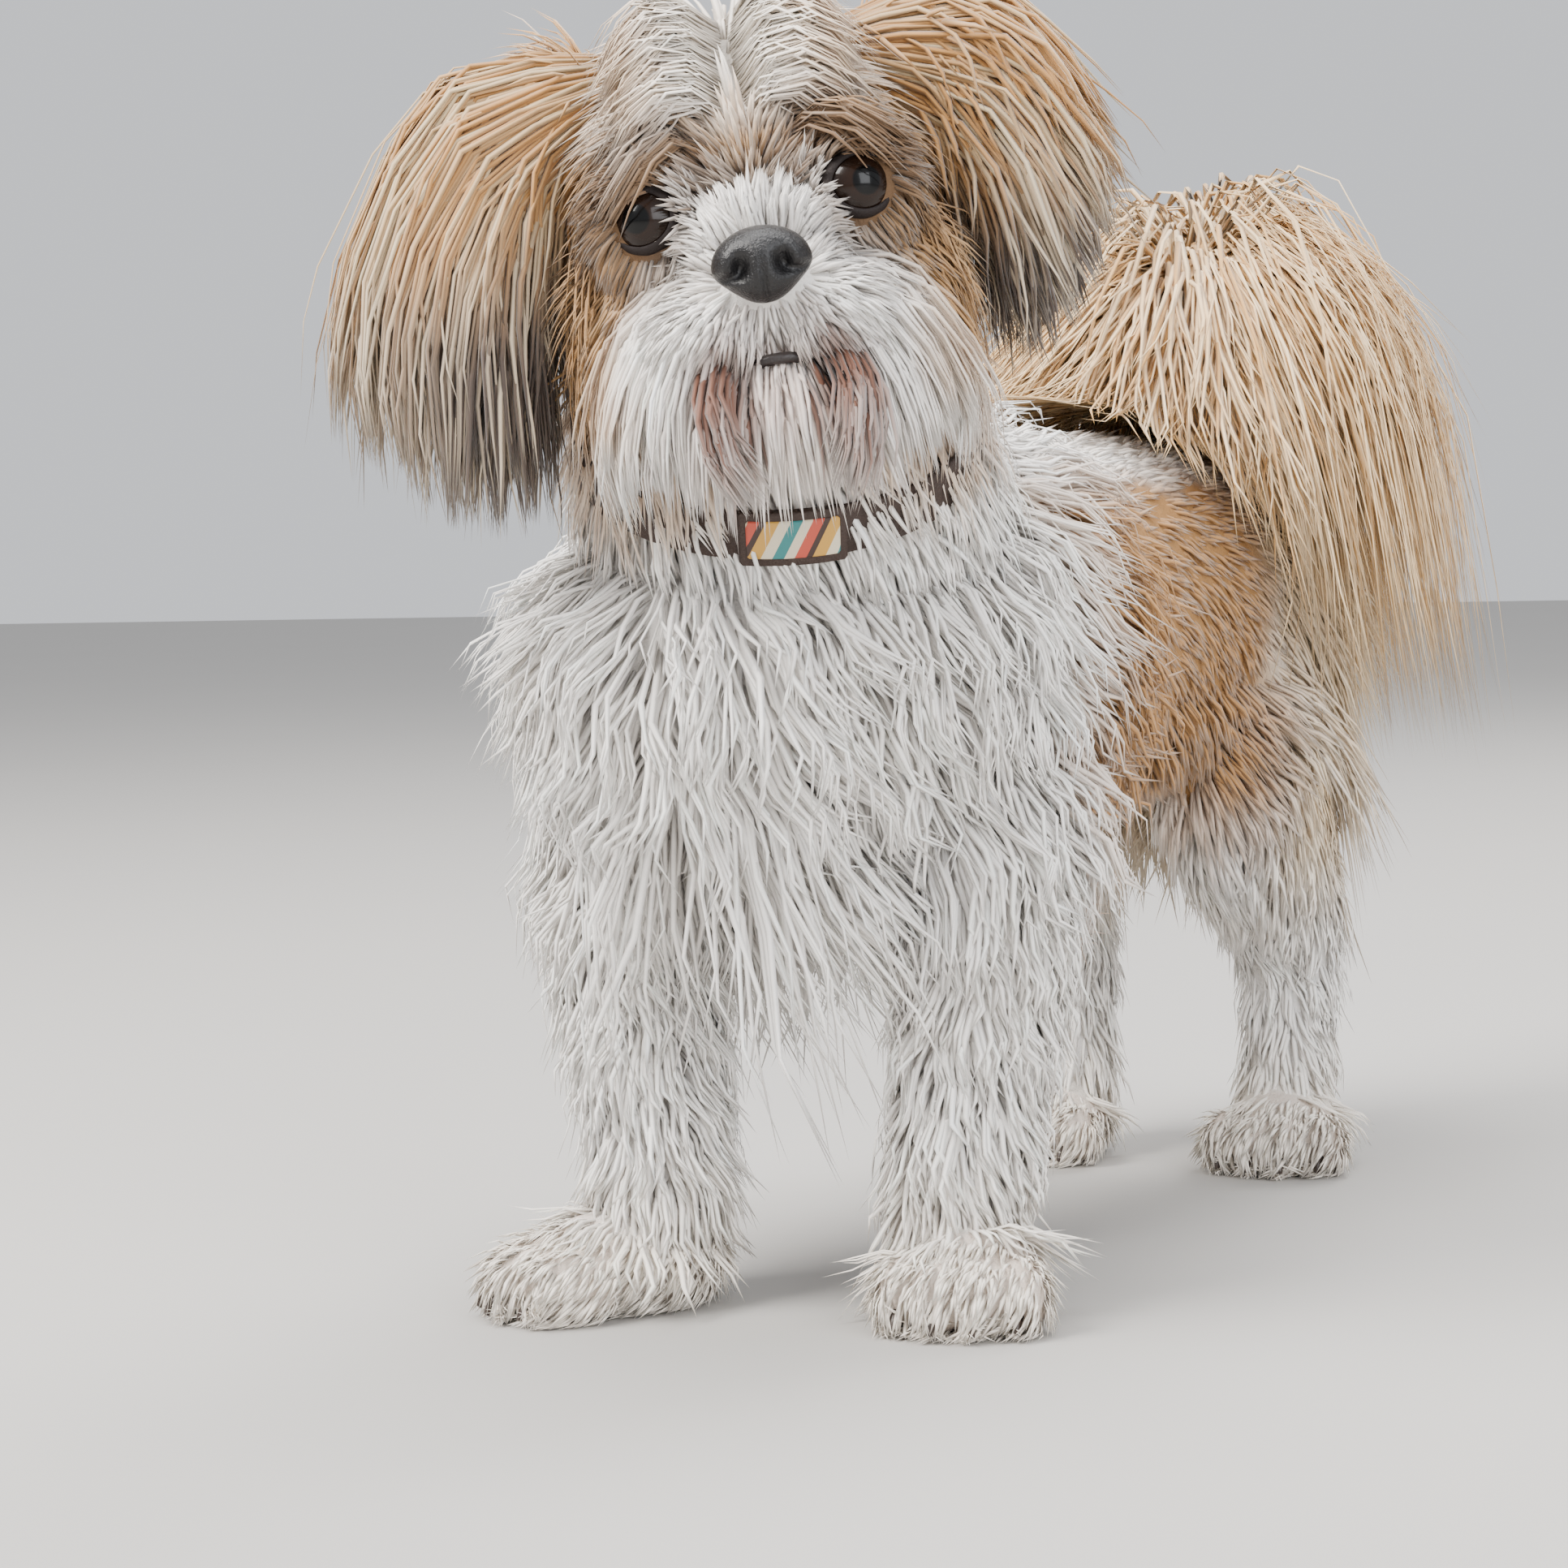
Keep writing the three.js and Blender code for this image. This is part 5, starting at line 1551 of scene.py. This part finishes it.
class DOG_OT_collar(bpy.types.Operator):
    """Makes the collar's strap and its striped slide"""

    bl_idname = "dog.collar"
    bl_label = "Collar"

    def execute(self, context):
        steps = 160
        turn = (FULL_TURN * np.arange(steps) / steps)[:, None]
        across, high = self.rounded(COLLAR_THICK / 2, COLLAR_HIGH / 2, 0.8)
        points = collar_place(turn, COLLAR_RADIUS + across, high).reshape(-1, 3)
        faces = oriented(points, ring_faces(steps, len(high), True))
        strap = new_material(
            "Collar strap", shade=(0.035, 0.018, 0.012), mottle=(900.0, 0.5), grain=(1400.0, 0.7, 0.0008),
            Roughness=0.6,
        )
        finished(mesh_object("collar_band", points, faces), strap, "collar_strap", "collar_strap")
        self.panel("collar_frame", SLIDE_SPAN, COLLAR_HIGH + 2, 2.6, strap, "collar_slide")
        self.panel("collar_stripes", SLIDE_SPAN * 0.86, COLLAR_HIGH - 3, 3.4, self.stripes())
        return {"FINISHED"}

    def rounded(self, half_wide, half_high, radius):
        """Corners of a rounded oblong, anticlockwise, as distances across and up."""
        quarter = np.repeat(np.arange(4), 4)
        a = np.radians(quarter * 90 + np.tile([0, 30, 60, 90], 4))
        right = np.array([1, -1, -1, 1])[quarter]
        top = np.array([1, 1, -1, -1])[quarter]
        across = right * (half_wide - radius) + radius * np.cos(a)
        return across, top * (half_high - radius) + radius * np.sin(a)

    def panel(self, name, span, high, thick, material, *nodes):
        """A bent, rounded block laid over the strap, with a map that runs along and across it."""
        steps = 41
        angle = SLIDE_MIDDLE + np.linspace(-span / 2, span / 2, steps)[:, None]
        out, up = self.rounded(thick / 2, high / 2, 0.7)
        shrink = np.ones((steps, 1))
        shrink[[0, -1]] = 0.9
        radius = COLLAR_RADIUS + COLLAR_THICK / 2 + 0.2
        points, faces = capped(collar_place(angle, radius + out * shrink, up * shrink))
        thing = mesh_object(name, points, faces)
        along_it = np.concatenate([np.repeat(np.linspace(0, 1, steps), len(up)), [0, 1]])
        over = np.concatenate([np.tile(up / high + 0.5, steps), [0.5, 0.5]])
        set_map(thing, "Panel", rows(along_it, over), faces)
        finished(thing, material, "collar_slide", *nodes)

    def stripes(self):
        """Slanting stripes of plain colours, even in width, along the panel's own map."""
        made, tree, shader = principled("Collar stripes", Roughness=0.5)
        uv, split = node(tree, "UVMap", uv_map="Panel"), node(tree, "SeparateXYZ")
        slant = node(tree, "Math", {1: -0.22}, operation="MULTIPLY_ADD")
        whole = node(tree, "Math", {1: 1.45}, operation="MULTIPLY")
        wrap = node(tree, "Math", operation="FRACT")
        pale = (0.68, 0.60, 0.44)
        ramp = ramp_node(tree, [
            (0.0, (0.55, 0.30, 0.05)), (0.2, pale), (0.38, (0.03, 0.20, 0.20)), (0.56, pale),
            (0.72, (0.50, 0.07, 0.04)), (0.9, (0.04, 0.02, 0.015)),
        ], "CONSTANT")
        wire(
            tree, (uv, "UV", split, 0), (split, "Y", slant, 0), (split, "X", slant, 2), (slant, 0, whole, 0),
            (whole, 0, wrap, 0), (wrap, 0, ramp, "Fac"), (ramp, "Color", shader, "Base Color"),
        )
        return made


# Camera found from the floor's straight lines: place in the dog's frame, turn, tilt, roll and lens. The
# lens is the sensor's width times the focal length over the picture's width, both in pixels.
CAMERA_AT = np.array([570.6, -1085.6, 240.0])
CAMERA_TURN = math.radians(31)
CAMERA_PITCH = math.radians(4.29)
CAMERA_ROLL = math.radians(1.872)
SENSOR = 36
CAMERA_LENS = SENSOR * 4621 / 1932


# Soft square lights, in metres: name, place, size, power in watts and tint.
LIGHTS = [
    ("Key", (-0.9, -1.5, 1.9), 1.2, 130.0, (1.0, 0.97, 0.93)),
    ("Fill", (1.9, -1.1, 1.0), 1.5, 48.0, (0.95, 0.97, 1.0)),
    ("Back", (0.3, 1.8, 1.7), 1.2, 50.0, (1.0, 0.98, 0.96)),
    ("Top", (0.0, -0.1, 2.4), 1.3, 60.0, (1.0, 1.0, 1.0)),
]
AIM = [0, -40, 190]
FLOOR_HALF = 6.0


class DOG_OT_stage(bpy.types.Operator):
    """Sets the camera of the photo, a plain pale floor and soft studio lights"""

    bl_idname = "dog.stage"
    bl_label = "Stage"

    def execute(self, context):
        self.camera(context)
        self.floor(context)
        aim = Vector(placed(AIM))
        for name, place, size, power, tint in LIGHTS:
            data = bpy.data.lights.new(name, "AREA")
            data.shape, data.size, data.energy, data.color = "SQUARE", size, power, tint
            lamp = bpy.data.objects.new(name, data)
            lamp.location = Vector(place)
            lamp.rotation_euler = (aim - Vector(place)).to_track_quat("-Z", "Y").to_euler()
            context.scene.collection.objects.link(lamp)
        world = bpy.data.worlds.new("Studio")
        world.use_nodes = True
        back = world.node_tree.nodes["Background"]
        back.inputs["Color"].default_value = (0.86, 0.88, 0.92, 1)
        back.inputs["Strength"].default_value = 0.95
        context.scene.world = world
        return {"FINISHED"}

    def camera(self, context):
        right = np.array([math.cos(CAMERA_TURN), math.sin(CAMERA_TURN), 0])
        level = np.array([-math.sin(CAMERA_TURN), math.cos(CAMERA_TURN), 0])
        ahead = math.cos(CAMERA_PITCH) * level - math.sin(CAMERA_PITCH) * UP
        up = math.sin(CAMERA_PITCH) * level + math.cos(CAMERA_PITCH) * UP
        x = math.cos(CAMERA_ROLL) * right - math.sin(CAMERA_ROLL) * up
        y = math.sin(CAMERA_ROLL) * right + math.cos(CAMERA_ROLL) * up
        data = bpy.data.cameras.new("Camera")
        data.lens, data.sensor_fit = CAMERA_LENS, "HORIZONTAL"
        data.sensor_width = data.sensor_height = SENSOR
        camera = bpy.data.objects.new("Camera", data)
        where = np.eye(4)
        where[:3] = rows(x, y, -ahead, placed(CAMERA_AT))
        camera.matrix_world = Matrix(where.tolist())
        context.scene.collection.objects.link(camera)
        context.scene.camera = camera

    def floor(self, context):
        mesh = bpy.data.meshes.new("floor")
        corners = [(x * FLOOR_HALF, y * FLOOR_HALF, 0) for x, y in ((-1, -1), (1, -1), (1, 1), (-1, 1))]
        mesh.from_pydata(corners, [], [(0, 1, 2, 3)])
        floor = bpy.data.objects.new("floor", mesh)
        context.scene.collection.objects.link(floor)
        plain = new_material("Floor", shade=(0.43, 0.415, 0.395), mottle=(3.0, 0.04), Roughness=0.7)
        mesh.materials.append(plain)
        return floor


class DOG_PT_panel(bpy.types.Panel):
    """Buttons and settings of the dog in the sidebar"""

    bl_label = "Dog"
    bl_idname = "DOG_PT_panel"
    bl_space_type = "VIEW_3D"
    bl_region_type = "UI"
    bl_category = "Dog"

    def draw(self, context):
        sizes, shades = context.scene.dog_sizes, context.scene.dog_colours
        for name in ("skin_step", "fill", "seed"):
            self.layout.prop(sizes, name)
        for name in ("white", "cream", "gold", "rust", "dark", "skin"):
            self.layout.prop(shades, name)
        for step in STEPS:
            self.layout.operator(f"dog.{step}")


STEPS = ["stage", "skin", "coat", "ears", "plume", "beard", "eyes", "nose", "claws", "collar"]
CLASSES = [
    DOG_PG_sizes, DOG_PG_colours, DOG_OT_stage, DOG_OT_skin, DOG_OT_coat, DOG_OT_ears, DOG_OT_plume,
    DOG_OT_beard, DOG_OT_eyes, DOG_OT_nose, DOG_OT_claws, DOG_OT_collar, DOG_PT_panel,
]


def register():
    for each in CLASSES:
        bpy.utils.register_class(each)
    bpy.types.Scene.dog_sizes = PointerProperty(type=DOG_PG_sizes)
    bpy.types.Scene.dog_colours = PointerProperty(type=DOG_PG_colours)


def unregister():
    del bpy.types.Scene.dog_sizes
    del bpy.types.Scene.dog_colours
    for each in reversed(CLASSES):
        bpy.utils.unregister_class(each)


def main():
    register()
    for step in STEPS:
        getattr(bpy.ops.dog, step)()


if __name__ == "__main__":
    main()
